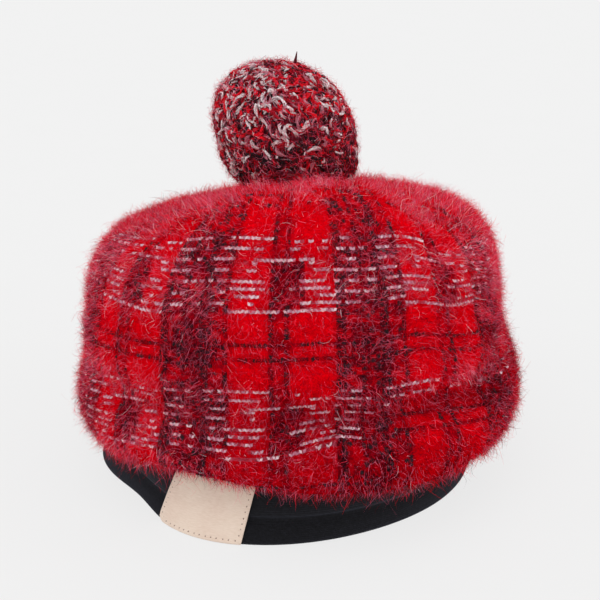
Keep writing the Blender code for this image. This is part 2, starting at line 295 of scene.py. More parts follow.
class Fabric:
    """Where each wale and course of the knit lies on the crown."""

    ANGLES = 144
    ROWS = 300
    BLUR = np.linspace(-6.0, 6.0, 7)     # the lines' places are means over these turns
    STEP = 0.4                           # wales or courses to each side, for directions

    def __init__(self):
        angles = np.linspace(0.0, 360.0, self.ANGLES + 1)
        rows = np.linspace(0.0, LAST_ROW, self.ROWS + 1)
        courses = np.arange(-COURSES_ABOVE, COURSES_BELOW + 1)
        knots = [-COURSES_ABOVE, 0, WHITE_COURSES, SETT_COURSES, LOWER_PULL.course,
                 COURSES_BELOW]
        share = (LOWER_PULL.course - SETT_COURSES) / (COURSES_BELOW - SETT_COURSES)
        line_angles, *columns = zip(*TARTAN_LINES)
        self.table = np.zeros((len(angles), len(courses)))
        for index, angle in enumerate(angles):
            line = crown_point(np.full(rows.size, angle), rows)
            steps = np.linalg.norm(np.diff(line, axis=0), axis=1)
            to_pole = np.hypot(line[-1, 0], line[-1, 1])
            length = to_pole + np.append(np.cumsum(steps[::-1])[::-1], 0.0)
            lines = [np.interp(angle + self.BLUR, line_angles, column, period=360.0).mean()
                     for column in columns]
            pull = bell(angle_between(angle, LOWER_PULL.angle), LOWER_PULL.half_angle)
            lines.append(lines[-1] + share * (length[0] - lines[-1])
                         - LOWER_PULL.reach * pull)
            wanted = np.interp(courses, knots, [0.0, *lines, length[0]])
            self.table[index] = np.interp(wanted, length[::-1], rows[::-1])

    def row(self, angle, course):
        """The crown's row at a course, read between the table's entries."""
        across = (angle % 360.0) / 360.0 * self.ANGLES
        down = np.clip(course + COURSES_ABOVE, 0, COURSES_ABOVE + COURSES_BELOW - 1e-6)
        column = np.minimum(across.astype(int), self.ANGLES - 1)
        line = down.astype(int)
        a = across - column
        b = down - line
        near, far = ((1 - b) * self.table[side, line] + b * self.table[side, line + 1]
                     for side in (column, column + 1))
        return (1 - a) * near + a * far

    @staticmethod
    def angle(wale):
        """Wale 0 lies just right of the middle of the pair that faces the viewer."""
        return PAIR_ANGLE + wale * 360.0 / WALES

    def point(self, wale, course, lift=0.0):
        angle = self.angle(wale)
        return crown_point(angle, self.row(angle, course), lift)

    def frame(self, wale, course):
        """Points with their rightward, downward and outward directions."""
        middle = self.point(wale, course)
        right = unit(self.point(wale + self.STEP, course)
                     - self.point(wale - self.STEP, course))
        down = unit(self.point(wale, np.minimum(course + self.STEP, COURSES_BELOW))
                    - self.point(wale, np.maximum(course - self.STEP, -COURSES_ABOVE)))
        return middle, right, down, unit(np.cross(down, right))


# ---- Meshes ----

def add_object(name, data):
    """A new object with the data, in the scene."""
    added = bpy.data.objects.new(name, data)
    bpy.context.scene.collection.objects.link(added)
    return added


def make_piece(name, points, faces, finishes, finish_of_face=None, smooth=True):
    """An object from points in millimetres and arrays of faces, each with its own
    number of corners. Faces come one array after another."""
    mesh = bpy.data.meshes.new(name)
    mesh.vertices.add(len(points))
    mesh.vertices.foreach_set("co", (np.asarray(points) * MM).astype(np.float32).ravel())
    corners = np.concatenate([group.ravel() for group in faces]).astype(np.int32)
    sizes = np.concatenate([np.full(len(group), group.shape[1]) for group in faces])
    starts = np.concatenate([[0], np.cumsum(sizes)[:-1]]).astype(np.int32)
    mesh.loops.add(len(corners))
    mesh.loops.foreach_set("vertex_index", corners)
    mesh.polygons.add(len(sizes))
    mesh.polygons.foreach_set("loop_start", starts)
    for finish in finishes:
        mesh.materials.append(finish)
    if finish_of_face is not None:
        mesh.polygons.foreach_set("material_index", finish_of_face.astype(np.int32))
    mesh.update(calc_edges=True)
    mesh.validate()
    if smooth:
        mesh.shade_smooth()
    return add_object(name, mesh)


def grid_faces(rows, columns, closed):
    """Quads of a grid of points, in rows; closed joins its last column to its first."""
    row, column = np.meshgrid(np.arange(rows - 1),
                              np.arange(columns if closed else columns - 1), indexing="ij")
    after = (column + 1) % columns
    quads = np.stack([row * columns + column, (row + 1) * columns + column,
                      (row + 1) * columns + after, row * columns + after], axis=-1)
    return quads.reshape(-1, 4)


def ribbons(paths, widths, sides):
    """Flat tapering ribbons, each ending in a point. paths is hairs x stations x 3,
    widths hairs x stations and sides hairs x 3. Returns points, quads and tips."""
    count, stations, _ = paths.shape
    along = unit(np.gradient(paths, axis=1))
    across = unit(np.cross(along, sides[:, None, :]))
    half = widths[..., None] / 2
    left = (paths - across * half)[:, :-1]
    right = (paths + across * half)[:, :-1]
    points = np.concatenate([np.stack([left, right], axis=2).reshape(count, -1, 3),
                             paths[:, -1:]], axis=1)
    size = 2 * stations - 1
    base = (np.arange(count) * size)[:, None]
    step = 2 * np.arange(stations - 2)[None, :]
    quads = np.stack([base + step + corner for corner in (0, 1, 3, 2)], axis=-1)
    tips = np.concatenate([base + size - 3, base + size - 2, base + size - 1], axis=1)
    return points.reshape(-1, 3), quads.reshape(-1, 4), tips


class Nodes:
    """Short ways to add and join the nodes of one material."""

    def __init__(self, name):
        self.finish = bpy.data.materials.new(name)
        self.finish.use_nodes = True
        self.tree = self.finish.node_tree
        self.shader = self.tree.nodes["Principled BSDF"]

    def add(self, kind):
        return self.tree.nodes.new("ShaderNode" + kind)

    def put(self, value, socket):
        if hasattr(value, "is_output"):
            self.tree.links.new(value, socket)
        else:
            socket.default_value = value

    def math(self, operation, first, second=0.0):
        node = self.add("Math")
        node.operation = operation
        self.put(first, node.inputs[0])
        self.put(second, node.inputs[1])
        return node.outputs[0]

    def times(self, first, second):
        return self.math("MULTIPLY", first, second)

    def plus(self, first, second):
        return self.math("ADD", first, second)

    def parts(self, vector):
        """The x, y and z of a vector."""
        node = self.add("SeparateXYZ")
        self.put(vector, node.inputs[0])
        return node.outputs

    def noise(self, scale, detail=2.0, stretch=None):
        """Noise in the object's own space; scale is a count of blotches a metre."""
        place = self.add("TexCoord").outputs["Object"]
        if stretch is not None:
            shape = self.add("Mapping")
            self.put(stretch, shape.inputs["Scale"])
            self.put(place, shape.inputs["Vector"])
            place = shape.outputs[0]
        node = self.add("TexNoise")
        for socket, value in (("Scale", scale), ("Detail", detail), ("Vector", place)):
            self.put(value, node.inputs[socket])
        return node.outputs[0]

    def strands(self, scale, turns, width):
        """Thin curling lines where smooth noise passes set levels."""
        level = self.math("FRACT", self.times(self.noise(scale, 1.5), turns))
        off = self.math("ABSOLUTE", self.math("SUBTRACT", level, 0.5))
        return self.between(off, 0.0, width, 1.0, 0.0)

    def between(self, value, low, high, to_low, to_high):
        node = self.add("MapRange")
        for socket, number in zip(node.inputs, (value, low, high, to_low, to_high)):
            self.put(number, socket)
        return node.outputs[0]

    def blotches(self, noise, first, second, low=0.35, high=0.7):
        """One colour where the noise is low, turning into the other where it is high."""
        return self.mix(self.between(noise, low, high, 0.0, 1.0), first, second)

    def mix(self, share, first, second, blend="MIX"):
        node = self.add("Mix")
        node.data_type = "RGBA"
        node.blend_type = blend
        self.put(share, node.inputs["Factor"])
        for value, socket in ((first, node.inputs[6]), (second, node.inputs[7])):
            self.put((*linear(value), 1.0) if isinstance(value, tuple) else value, socket)
        return node.outputs[2]

    def bump(self, height, distance, strength=1.0):
        node = self.add("Bump")
        self.put(strength, node.inputs["Strength"])
        self.put(distance * MM, node.inputs["Distance"])
        self.put(height, node.inputs["Height"])
        self.put(node.outputs[0], self.shader.inputs["Normal"])

    def sheen(self, weight, tint=None):
        self.put(weight, self.shader.inputs["Sheen Weight"])
        if tint is not None:
            self.put((*linear(tint), 1.0), self.shader.inputs["Sheen Tint"])

    def finished(self, colour, roughness, specular):
        self.put(colour, self.shader.inputs["Base Color"])
        self.put(roughness, self.shader.inputs["Roughness"])
        self.put(specular, self.shader.inputs["Specular IOR Level"])
        return self.finish


def plain_material(name, colour, roughness=0.9, specular=0.2):
    return Nodes(name).finished((*linear(colour), 1.0), roughness, specular)


# ---- The tartan's chart ----

# White lines: course within the sett, the wales from the pair's middle between which
# it shows on the red ground, and how often a stitch of it shows there.
WhiteLine = namedtuple("WhiteLine", "course first last share")
WHITE_LINES = [
    WhiteLine(0, -10, -3, 1.00),
    WhiteLine(1, 3, 9, 0.40),
    WhiteLine(3, -10, -5, 0.80),
    WhiteLine(3, 2, 10, 0.55),
    WhiteLine(6, -6, 6, 0.95),
    WhiteLine(7, -8, -6, 0.60),
    WhiteLine(7, 6, 8, 0.80),
    WhiteLine(9, -7, -5, 0.80),
    WhiteLine(9, 6, 9, 0.70),
    WhiteLine(12, -10, -4, 0.95),
    WhiteLine(12, 4, 8, 0.75),
    WhiteLine(14, -10, -4, 1.00),
    WhiteLine(14, 2, 9, 0.80),
    WhiteLine(16, -10, -5, 0.90),
    WhiteLine(16, 7, 10, 0.80),
    WhiteLine(18, -6, -4, 0.80),
    WhiteLine(18, 4, 10, 0.95),
    WhiteLine(20, -10, -1, 1.00),
    WhiteLine(20, 1, 10, 1.00),
]
PAIR_WALES = (-2, 1)
BLOCK_EDGE = 11              # the dark block starts this far from the pair on either side
BLOCK_MIDDLE = 16            # and its middle, with fewer white stitches, this far
STRONG_WALES = (11, 12, 20, 21)      # its dark stripes, counted rightward from the pair
FAINT_WALES = (16, 25)
BLOCK_WHITE_COURSES = (0, 3, 6, 9, 12, 15, 18)
BLOCK_WHITE_SHARES = (0.9, 0.45)     # of a white line's stitches, at its edge and middle
STRIPE_HIDES_WHITE = 0.5     # of the white stitches that a dark stripe crosses
DARK_COURSES = (29, 33)
SHADE_WALES = (-3, 5)        # round the pair's middle the cloth is maroon between these
SHADE_COURSES = (7, 20)      # and these
CLOUD_WALE = 14              # the block is darkest from here to its middle
CLOUD_COURSES = (25, 36)     # and between these
TUCK_WALES = (19, 70)        # between these a deep crease hides courses of the cloth,
TUCK_STRAY = 1.5             # give or take this many wales
TUCK_COURSE = 45             # below this one
TUCK_COURSES = 19            # and this many
RED_YARN, DEEP_YARN, MAROON_YARN, BLACK_YARN, WHITE_YARN = range(5)
YARN_COLOURS = [RED, DEEP_RED, MAROON, BLACK, BRAID_SHADE]

# How often each yarn but white shows in a zone of the chart.
ZONE_SHARES = {
    "ground":      (1.00, 0.00, 0.00, 0.00),
    "pair middle": (0.40, 0.60, 0.00, 0.00),
    "shade":       (0.03, 0.20, 0.55, 0.22),
    "pair stripe": (0.00, 0.20, 0.28, 0.52),
    "block":       (0.12, 0.35, 0.33, 0.20),
    "braids":      (0.12, 0.18, 0.25, 0.45),
    "checks":      (0.45, 0.27, 0.18, 0.10),
    "cloud":       (0.02, 0.13, 0.45, 0.40),
    "strong":      (0.00, 0.02, 0.08, 0.90),
    "faint":       (0.02, 0.20, 0.28, 0.50),
    "dark line":   (0.03, 0.07, 0.15, 0.75),
}


def chart(wale, course, rng):
    """The yarn of each stitch, for arrays of whole wales and courses."""
    near = wale + rng.normal(0.0, TUCK_STRAY, wale.shape)
    tucked = (near > TUCK_WALES[0]) & (near < TUCK_WALES[1]) & (course > TUCK_COURSE)
    course = np.where(tucked, np.minimum(course + TUCK_COURSES, 2 * SETT_COURSES - 1),
                      course)
    wale = wale % REPEAT_WALES
    left = wale - REPEAT_WALES * (wale > REPEAT_WALES // 2)
    apart = np.abs(left)
    course = course % SETT_COURSES
    chance = rng.random(wale.shape)
    yarn = np.zeros(wale.shape, int)

    def fill(zone, where):
        steps = np.cumsum(ZONE_SHARES[zone])
        yarn[where] = np.minimum(np.searchsorted(steps, chance[where]), BLACK_YARN)

    banded = course <= WHITE_COURSES
    block = apart >= BLOCK_EDGE
    middle = apart >= BLOCK_MIDDLE
    fill("ground", ~block)
    fill("pair middle", (left > PAIR_WALES[0]) & (left < PAIR_WALES[1]))
    fill("shade", (left > SHADE_WALES[0]) & (left < SHADE_WALES[1])
         & (course >= SHADE_COURSES[0]) & (course < SHADE_COURSES[1]))
    fill("block", block)
    fill("braids", block & ~middle & banded)
    fill("checks", block & ~middle & ~banded)
    fill("cloud", (apart >= CLOUD_WALE) & (course >= CLOUD_COURSES[0])
         & (course < CLOUD_COURSES[1]))
    for line in WHITE_LINES:
        on = (course == line.course) & (left >= line.first) & (left <= line.last)
        yarn[on & (chance < line.share)] = WHITE_YARN
    often = np.where(middle, BLOCK_WHITE_SHARES[1], BLOCK_WHITE_SHARES[0])
    for line in BLOCK_WHITE_COURSES:
        yarn[block & (course == line) & (chance < often)] = WHITE_YARN
    for line in DARK_COURSES:
        fill("dark line", course == line)
    for zone, stripes in (("strong", STRONG_WALES), ("faint", FAINT_WALES)):
        fill(zone, np.isin(wale, stripes)
             & ((yarn != WHITE_YARN) | (chance < STRIPE_HIDES_WHITE)))
    fill("pair stripe", np.isin(left, PAIR_WALES) & (yarn != WHITE_YARN))
    return yarn


# ---- The crown's ground knit ----

STITCH_STRAY = 0.15          # how unevenly the stitches stand
# How much of its own colour a stitch of each yarn keeps, where they run together.
YARN_HOLDS = [0.35, 0.35, 0.4, 0.75, 0.55]
TOP_PLAIN = (-1, -24)        # above the first course the tartan fades, gone at the second
FADE_REACH = 0.9             # the share of stitches turned red where the fade ends
FADE_CURVE = 0.7             # below 1 the fade is quick at first
STITCH_TONES = (0.85, 1.1)   # the darkest and the lightest stitch of one yarn
PAINTED_SHADE_DEPTH = 0.55           # how much darker painted shade makes the cloth, at its deepest
FINE_FIBRE = (0.62, 0.04, 0.12)
COARSE_FIBRE = (0.72, 0.0, 0.07)
STITCH_SLANT = 0.6           # courses that a stitch's legs drop from its middle
LINING_STEP = 2              # wales for each column of the inner face
LINING_ROWS = 18


def bled(colours, spread, holds):
    """The four corner colours of each stitch, mixed at each corner with what its
    neighbours spread. Holds is the share of its own colour that a stitch keeps."""
    spread = np.concatenate([spread[:1], spread, spread[-1:]])
    spread = np.concatenate([spread[:, -1:], spread, spread[:, :1]], axis=1)
    met = (spread[:-1, :-1] + spread[1:, :-1] + spread[:-1, 1:] + spread[1:, 1:]) / 4
    corners = np.stack([met[:-1, :-1], met[1:, :-1], met[1:, 1:], met[:-1, 1:]], axis=2)
    holds = holds[:, :, None, None]
    return ((1 - holds) * corners + holds * colours[:, :, None]).reshape(-1, 3)


def face_colours(mesh, colours):
    """A colour for each corner of each face, as a layer of the mesh called tartan."""
    values = np.column_stack([colours, np.ones(len(colours))])
    layer = mesh.color_attributes.new("tartan", "FLOAT_COLOR", "CORNER")
    layer.data.foreach_set("color", values.astype(np.float32).ravel())


def build_crown(fabric, rng):
    """The knit's outer face, one quad a stitch, and the yarn of each stitch."""
    courses = np.arange(-COURSES_ABOVE, COURSES_BELOW + 1)
    grid_wale, grid_course = np.meshgrid(np.arange(WALES) - 0.5, courses.astype(float))
    lift = rng.uniform(-STITCH_STRAY, STITCH_STRAY, grid_wale.size)
    points = fabric.point(grid_wale.ravel(), grid_course.ravel(), lift)
    piece = make_piece("crown_knit", points, [grid_faces(len(courses), WALES, closed=True)],
                       [ground_material()])
    yarn = chart(*np.meshgrid(np.arange(WALES), courses[:-1]), rng)
    fade = np.clip((TOP_PLAIN[0] - courses[:-1]) / (TOP_PLAIN[0] - TOP_PLAIN[1]), 0.0, 1.0)
    yarn[rng.random(yarn.shape) < FADE_REACH * fade[:, None] ** FADE_CURVE] = RED_YARN
    yarn[courses[:-1] < TOP_PLAIN[1]] = RED_YARN
    colours = np.array([linear(colour) for colour in YARN_COLOURS])[yarn]
    # painted shade: the cloth is darker in the folds' valleys, the crease and under the lip
    shade = strength_at(PAINTED_SHADE_ZONES, fabric.angle(np.arange(WALES)), courses[:-1, None])
    tone = rng.uniform(*STITCH_TONES, yarn.shape) * (1 - PAINTED_SHADE_DEPTH * shade)
    colours = colours * tone[..., None]
    spread = np.where((yarn == WHITE_YARN)[..., None], linear(DEEP_RED), colours)
    face_colours(piece.data, bled(colours, spread, np.array(YARN_HOLDS)[yarn]))
    row, column = np.divmod(np.arange(yarn.size), WALES)
    u = np.stack([column, column, column + 1, column + 1], axis=-1) / WALES
    v = np.stack([row, row + 1, row + 1, row], axis=-1) / (len(courses) - 1)
    layer = piece.data.uv_layers.new(name="OFBake")
    layer.uv.foreach_set("vector", np.stack([u, v], axis=-1).astype(np.float32).ravel())
    return piece, yarn


def build_lining(fabric):
    """The crown's inner face, and the rim that joins it to the outer one."""
    wale = np.arange(0, WALES, LINING_STEP) - 0.5
    course = np.linspace(-COURSES_ABOVE, COURSES_BELOW, LINING_ROWS)
    grid_wale, grid_course = np.meshgrid(wale, course)
    inner = fabric.point(grid_wale.ravel(), grid_course.ravel(), KNIT_DEPTH - CROWN_WALL)
    edge = fabric.point(wale, np.full(wale.size, float(COURSES_BELOW)))
    quads = grid_faces(LINING_ROWS + 1, wale.size, closed=True)[:, ::-1]
    return make_piece("crown_lining", np.concatenate([inner, edge]), [quads],
                      [lining_material()])


def lining_material():
    nodes = Nodes("crown inside")
    felt = nodes.noise(900.0, 4.0)
    colour = nodes.blotches(felt, DEEP_RED, MAROON)
    nodes.bump(felt, 0.5, 0.7)
    return nodes.finished(colour, 0.95, 0.15)


def ground_material():
    """The tartan's colours, with stitches, felted fibres and painted shade in the hollows
    drawn over them.
    """
    nodes = Nodes("brushed tartan knit")
    paint = nodes.add("Attribute")
    paint.attribute_name = "tartan"
    place = nodes.add("UVMap")
    place.uv_map = "OFBake"
    across, down, _ = nodes.parts(place.outputs[0])
    wale = nodes.times(across, float(WALES))
    course = nodes.times(down, float(COURSES_ABOVE + COURSES_BELOW))
    off_middle = nodes.math("SUBTRACT", nodes.math("FRACT", wale), 0.5)
    aside = nodes.times(nodes.math("ABSOLUTE", off_middle), 2.0)
    phase = nodes.math("FRACT", nodes.plus(course, nodes.times(aside, STITCH_SLANT)))
    swell = nodes.math("SINE", nodes.times(phase, math.pi))
    leg = nodes.math("SINE", nodes.times(aside, math.pi))
    height = nodes.times(swell, nodes.plus(nodes.times(leg, 0.6), 0.4))
    felt = nodes.noise(900.0, 4.0)
    fine, coarse = nodes.strands(260.0, 5.0, 0.16), nodes.strands(150.0, 7.0, 0.2)
    relief = nodes.plus(nodes.times(height, 0.5), nodes.plus(felt, nodes.times(fine, 0.5)))
    # the felt's random tone, with painted shade that darkens the stitches' hollows
    relief_and_felt = nodes.plus(nodes.times(height, 0.25), felt)
    shade = nodes.between(relief_and_felt, 0.35, 0.95, 0.78, 1.1)
    colour = nodes.mix(1.0, paint.outputs["Color"], shade, "MULTIPLY")
    colour = nodes.mix(nodes.times(fine, 0.40), colour, FINE_FIBRE)
    colour = nodes.mix(nodes.times(coarse, 0.25), colour, COARSE_FIBRE)
    nodes.bump(relief, 0.5, 0.7)
    return nodes.finished(colour, 1.0, 0.0)


# ---- Raised stitches of the white and black yarn ----

LEG_THICKNESS = 1.25         # of a white stitch's two legs
LEG_BASE = 0.15              # their ends above the cloth
LEG_RISE = 0.8
LUMP_RISE = 0.6
LUMP_SHARE = 0.45            # of the black stitches that stand proud
HAZE_HIDES = 0.75            # of the white stitches under the thickest hair
WHITE_GAPS = 0.08            # of all white stitches, worn away
LOW_GAPS = 0.15              # added to the hair's strength on the lower repeat's ones


def tents(name, corners, finishes, rng):
    """Four-sided tents: corners holds foot, left, top, right and head of each."""
    base = (np.arange(len(corners)) * 5)[:, None]
    faces = [base + np.array(order)
             for order in ((0, 2, 1), (0, 3, 2), (4, 1, 2), (4, 2, 3))]
    shade = np.repeat(rng.integers(0, len(finishes), len(corners)), 4)
    return make_piece(name, corners.reshape(-1, 3),
                      [np.stack(faces, axis=1).reshape(-1, 3)], finishes, shade)


def white_stitches(name, fabric, yarn, finishes, rng):
    """Two slanting legs for each white stitch, so that a line of them reads as a braid."""
    line, wale = np.nonzero(yarn == WHITE_YARN)
    hidden = strength_at(HAZES, fabric.angle(wale), line - float(COURSES_ABOVE))
    hidden = hidden + LOW_GAPS * (line - COURSES_ABOVE > SETT_COURSES)
    kept = rng.random(wale.size) > WHITE_GAPS + HAZE_HIDES * hidden
    course = (line[kept] - COURSES_ABOVE).astype(float)
    wale = wale[kept].astype(float)
    corners = []
    for side in (-1.0, 1.0):
        foot_wale = wale - side * rng.uniform(0.0, 0.12, wale.size)
        head_wale = wale + side * rng.uniform(0.55, 0.72, wale.size)
        foot_course = np.minimum(course + rng.uniform(0.95, 1.25, wale.size), COURSES_BELOW)
        head_course = course + rng.uniform(-0.1, 0.25, wale.size)
        foot = fabric.point(foot_wale, foot_course, LEG_BASE)
        head = fabric.point(head_wale, head_course, LEG_BASE)
        middle, _, _, out = fabric.frame((foot_wale + head_wale) / 2,
                                         (foot_course + head_course) / 2)
        across = unit(np.cross(head - foot, out))
        half = LEG_THICKNESS / 2 * rng.uniform(0.8, 1.15, (wale.size, 1))
        top = middle + out * LEG_RISE * rng.uniform(0.7, 1.2, (wale.size, 1))
        low = middle + out * LEG_BASE
        corners.append(np.stack([foot, low + across * half, top, low - across * half,
                                 head], axis=1))
    return tents(name, np.concatenate(corners), finishes, rng)


def black_stitches(name, fabric, yarn, finishes, rng):
    """A low lump for some of the black stitches."""
    line, wale = np.nonzero((yarn == BLACK_YARN) & (rng.random(yarn.shape) < LUMP_SHARE))
    course = (line - COURSES_ABOVE).astype(float)
    wale = wale + rng.uniform(-0.15, 0.15, wale.size)
    middle, right, down, out = fabric.frame(wale, course + 0.5)
    lean = rng.uniform(-0.5, 0.5, (len(wale), 1))
    ahead = unit(down + right * lean) * rng.uniform(1.0, 1.7, (len(wale), 1))
    across = unit(right - down * lean) * rng.uniform(0.9, 1.4, (len(wale), 1))
    top = middle + out * LUMP_RISE * rng.uniform(0.6, 1.2, (len(wale), 1))
    corners = np.stack([middle + ahead, middle - across, top, middle + across,
                        middle - ahead], axis=1)
    return tents(name, corners, finishes, rng)


# ---- The crown's hair ----

# Hair colours, and how often each grows from a stitch of each yarn.
HAIR_SHADES = [
    ("hair bright red", (0.92, 0.0, 0.07)),
    ("hair red", (0.78, 0.0, 0.08)),
    ("hair deep red", (0.56, 0.01, 0.07)),
    ("hair coral", (0.94, 0.20, 0.30)),
    ("hair pink", (0.88, 0.40, 0.51)),
    ("hair mauve", (0.68, 0.32, 0.42)),
    ("hair maroon", (0.36, 0.02, 0.09)),
    ("hair charcoal", (0.16, 0.05, 0.10)),
    ("hair pale", (0.90, 0.76, 0.80)),
]
HAIR_MIX = {
    RED_YARN:    (0.50, 0.32, 0.14, 0.03, 0.01, 0.00, 0.00, 0.00, 0.00),
    DEEP_YARN:   (0.10, 0.27, 0.31, 0.05, 0.09, 0.07, 0.11, 0.00, 0.00),
    MAROON_YARN: (0.04, 0.16, 0.26, 0.05, 0.15, 0.14, 0.16, 0.04, 0.00),
    BLACK_YARN:  (0.02, 0.08, 0.14, 0.04, 0.12, 0.16, 0.18, 0.26, 0.00),
    WHITE_YARN:  (0.07, 0.10, 0.08, 0.08, 0.26, 0.22, 0.03, 0.00, 0.16),
}
# pale hair colours of the haze, partly painted glow
HAZE_MIX = (0.09, 0.05, 0.02, 0.31, 0.38, 0.07, 0.00, 0.00, 0.08)
# darker hair colours of painted shade
PAINTED_SHADE_MIX = (0.03, 0.18, 0.32, 0.02, 0.07, 0.11, 0.22, 0.05, 0.00)
TIP_MIX = (0.00, 0.20, 0.00, 0.35, 0.30, 0.15, 0.00, 0.00, 0.00)
TIP_SHARE = 0.25             # of the hairs that end in a paler tip
ROOT_STRAY = 1.6             # stitches from a hair to the one whose colour it takes
Zone = namedtuple("Zone", "angle half_angle course half_courses share")
# Where the hair is thick and pale, hiding white stitches; the paleness is partly painted
# glow.
HAZES = [
    Zone(270, 400, -17, 10, 0.90),   # the ridge round the top, partly painted glow
    Zone( 88,  85,  10, 90, 0.35),   # the back and sides
    Zone(350,  22,  12, 40, 0.75),   # the outline's right side: painted glow
    Zone(187,  20,  12, 40, 0.45),   # and its left side: painted glow
    Zone(203,  20,   8, 13, 0.80),   # parts of the upper white lines
    Zone(325,  18,   4,  6, 0.45),
    Zone(238,  16,  16,  9, 0.30),
    Zone(300,  10,  14,  6, 0.30),
    Zone(330,  24,  42,  4, 0.95),   # ridges of the lower folds, partly painted highlight
    Zone(212,  24,  41,  5, 0.90),
    Zone(228,  12,  52,  9, 0.45),
    Zone(228,  26,  66,  8, 0.60),   # the lip over the label
    Zone(270,  30,  66,  6, 0.25),
]
# Where painted shade darkens the cloth and its hair.
PAINTED_SHADE_ZONES = [
    Zone(267,   4,  10,  7.0, 0.40), # the upper valley
    Zone(267,   6,  50,  7.0, 0.60), # the crease and what lies under it
    Zone(284,   7,  50,  6.0, 0.50),
    Zone(273,  24,  56, 10.0, 0.60),
    Zone(320,  30,  49,  4.5, 0.95), # the lower folds at the right
    Zone(352,  16,  44,  6.0, 0.70),
    Zone(226,  20,  49,  3.0, 0.25), # and at the left
    Zone(280,  60,  78, 13.0, 0.85), # under the lip
    Zone(310,  30,  66,  6.0, 0.35),
    Zone(272,  24,  66,  7.0, 0.35),
]
# Coats of hair: name, how many hairs, stations along each, their length and their width
# at the root; then, in degrees, their least and most rise from the cloth, how far they
# lean back to it, and how far they curl and stray from their neighbours' way.
Coat = namedtuple("Coat", "name count stations length width low high fall curl stray")
COATS = [
    Coat("crown_nap_1",  110000, 2,  3.4, 0.19, 15, 85,  0,   0, 70),
    Coat("crown_nap_2",   54000, 3,  5.8, 0.16, 22, 82, 45,  70, 45),
    Coat("crown_hair_1",  27000, 5,  8.5, 0.14, 12, 70, 80, 160, 35),
    Coat("crown_hair_2",  12500, 7, 12.5, 0.12, 12, 55, 95, 240, 35),
]
HAIR_TOP = -44.0             # courses between which hair grows
HAIR_BOTTOM = COURSES_BELOW - 10.0
HAIR_RADIUS = 106.0          # where the crown is this wide the hair is thickest
HAIR_TAPER = 0.35            # width of a hair's last station over its first
ROOT_DEPTH = 0.2             # of its root below the face
HANG = 0.12                  # how strongly a hair of HANG_LENGTH bends down
HANG_LENGTH = 9.0
LIP_COURSE = 62.0            # from here down it hangs more and more,
LIP_REACH = 12.0             # and by this much more after this many courses
LIP_HANG = 0.9
LIP_TRIM = 0.08              # how much shorter the long hair is there
BASE_COURSE = -28.0          # above this, round the pompom, the hair stands up,
BASE_REACH = 6.0             # the more the higher, over this many courses,
BASE_LIFT = 0.8              # up to this lift
RIDGE_LIFTS = (0.6, 0.15)    # lift of the short and of the long hair on the top ridge
STANDING = 78.0              # degrees that fully lifted hair rises from the cloth
TUFT = 3.0                   # stitches across a tuft, whose hairs lie much the same way
TUFT_STRAY = 0.8             # radians that a tuft's way strays from the flow
TUFT_HAZE = (0.1, 1.9)       # least and most of the haze around it that a tuft takes
TUFT_FILL = (0.15, 1.0)      # least and most of the long hairs that a tuft keeps
TUFT_SEED = 7                # every coat has the same tufts
TUFT_TABLE = (WALES, COURSES_ABOVE + COURSES_BELOW)
FLOW_START = 1.2             # radians from rightward toward downward
# Waves in the way that the hair is brushed: radians to each side, waves round the crown
# and courses for a radian of the wave, which is negative where it leans the other way.
FLOW_WAVES = [(1.5, 2.0, 19.0), (1.1, 5.0, -13.0), (0.9, 11.0, 6.0), (0.7, 23.0, -3.5)]


def strength_at(zones, angle, course):
    """How strongly the zones show at each place, from 0 to 1."""
    clear = 1.0
    for zone in zones:
        across = bell(angle_between(angle, zone.angle), zone.half_angle)
        clear = clear * (1 - zone.share * across
                         * bell(course - zone.course, zone.half_courses))
    return 1 - clear


def tuft_at(wale, course):
    return (wale / TUFT).astype(int), ((course + COURSES_ABOVE) / TUFT).astype(int)


def is_long(coat):
    return coat.stations > 3


def hair_paths(root, right, down, out, heading, hang, lift, coat, rng):
    """Stations along curling hairs that leave the cloth and lean back toward it. Lift
    from 0 to 1 stands them up and makes them longer."""
    count = len(root)
    heading = heading + np.radians(rng.normal(0.0, coat.stray, count))
    rise = np.radians(rng.uniform(coat.low, coat.high, count))
    rise = rise + (np.radians(STANDING) - rise) * lift
    curl = np.radians(rng.normal(0.0, coat.curl, count))
    fall = np.radians(rng.uniform(0.2, 1.0, count) * coat.fall) * (1 - 0.7 * lift)
    length = coat.length * rng.uniform(0.45, 1.25, count) * (1 + 0.5 * lift)
    steps = coat.stations - 1
    path = [root]
    for step in range(steps):
        share = (step + 0.5) / steps
        way = heading + curl * share
        tilt = rise - fall * share
        flat = right * np.cos(way)[:, None] + down * np.sin(way)[:, None]
        ahead = flat * np.cos(tilt)[:, None] + out * np.sin(tilt)[:, None]
        ahead[:, 2] -= hang * coat.length / HANG_LENGTH * (0.2 + share)
        path.append(path[-1] + unit(ahead) * (length / steps)[:, None])
    return np.stack(path, axis=1)


def hair_flow(angle, course):
    """The way that the hair is brushed, in radians from rightward toward downward."""
    flow = FLOW_START
    for swing, waves, courses in FLOW_WAVES:
        flow = flow + swing * np.sin(waves * np.radians(angle) + course / courses)
    return flow


def picked(mix, chance):
    """The shade that each chance from 0 to 1 picks from a mix."""
    edges = np.cumsum(mix) / sum(mix)
    return np.minimum(np.searchsorted(edges, chance), len(HAIR_SHADES) - 1)


def hair_shade(yarn, haze, painted_shade, rng):
    """A shade for each hair, from the yarn under it, the haze around it and the painted
    shade over it.
    """
    chance = rng.random(yarn.size)
    shade = np.zeros(yarn.size, int)
    for kind, mix in HAIR_MIX.items():
        mine = yarn == kind
        shade[mine] = picked(mix, chance[mine])
    for strength, mix in ((haze, HAZE_MIX), (painted_shade, PAINTED_SHADE_MIX)):
        here = rng.random(yarn.size) < strength
        shade[here] = picked(mix, chance[here])
    return shade


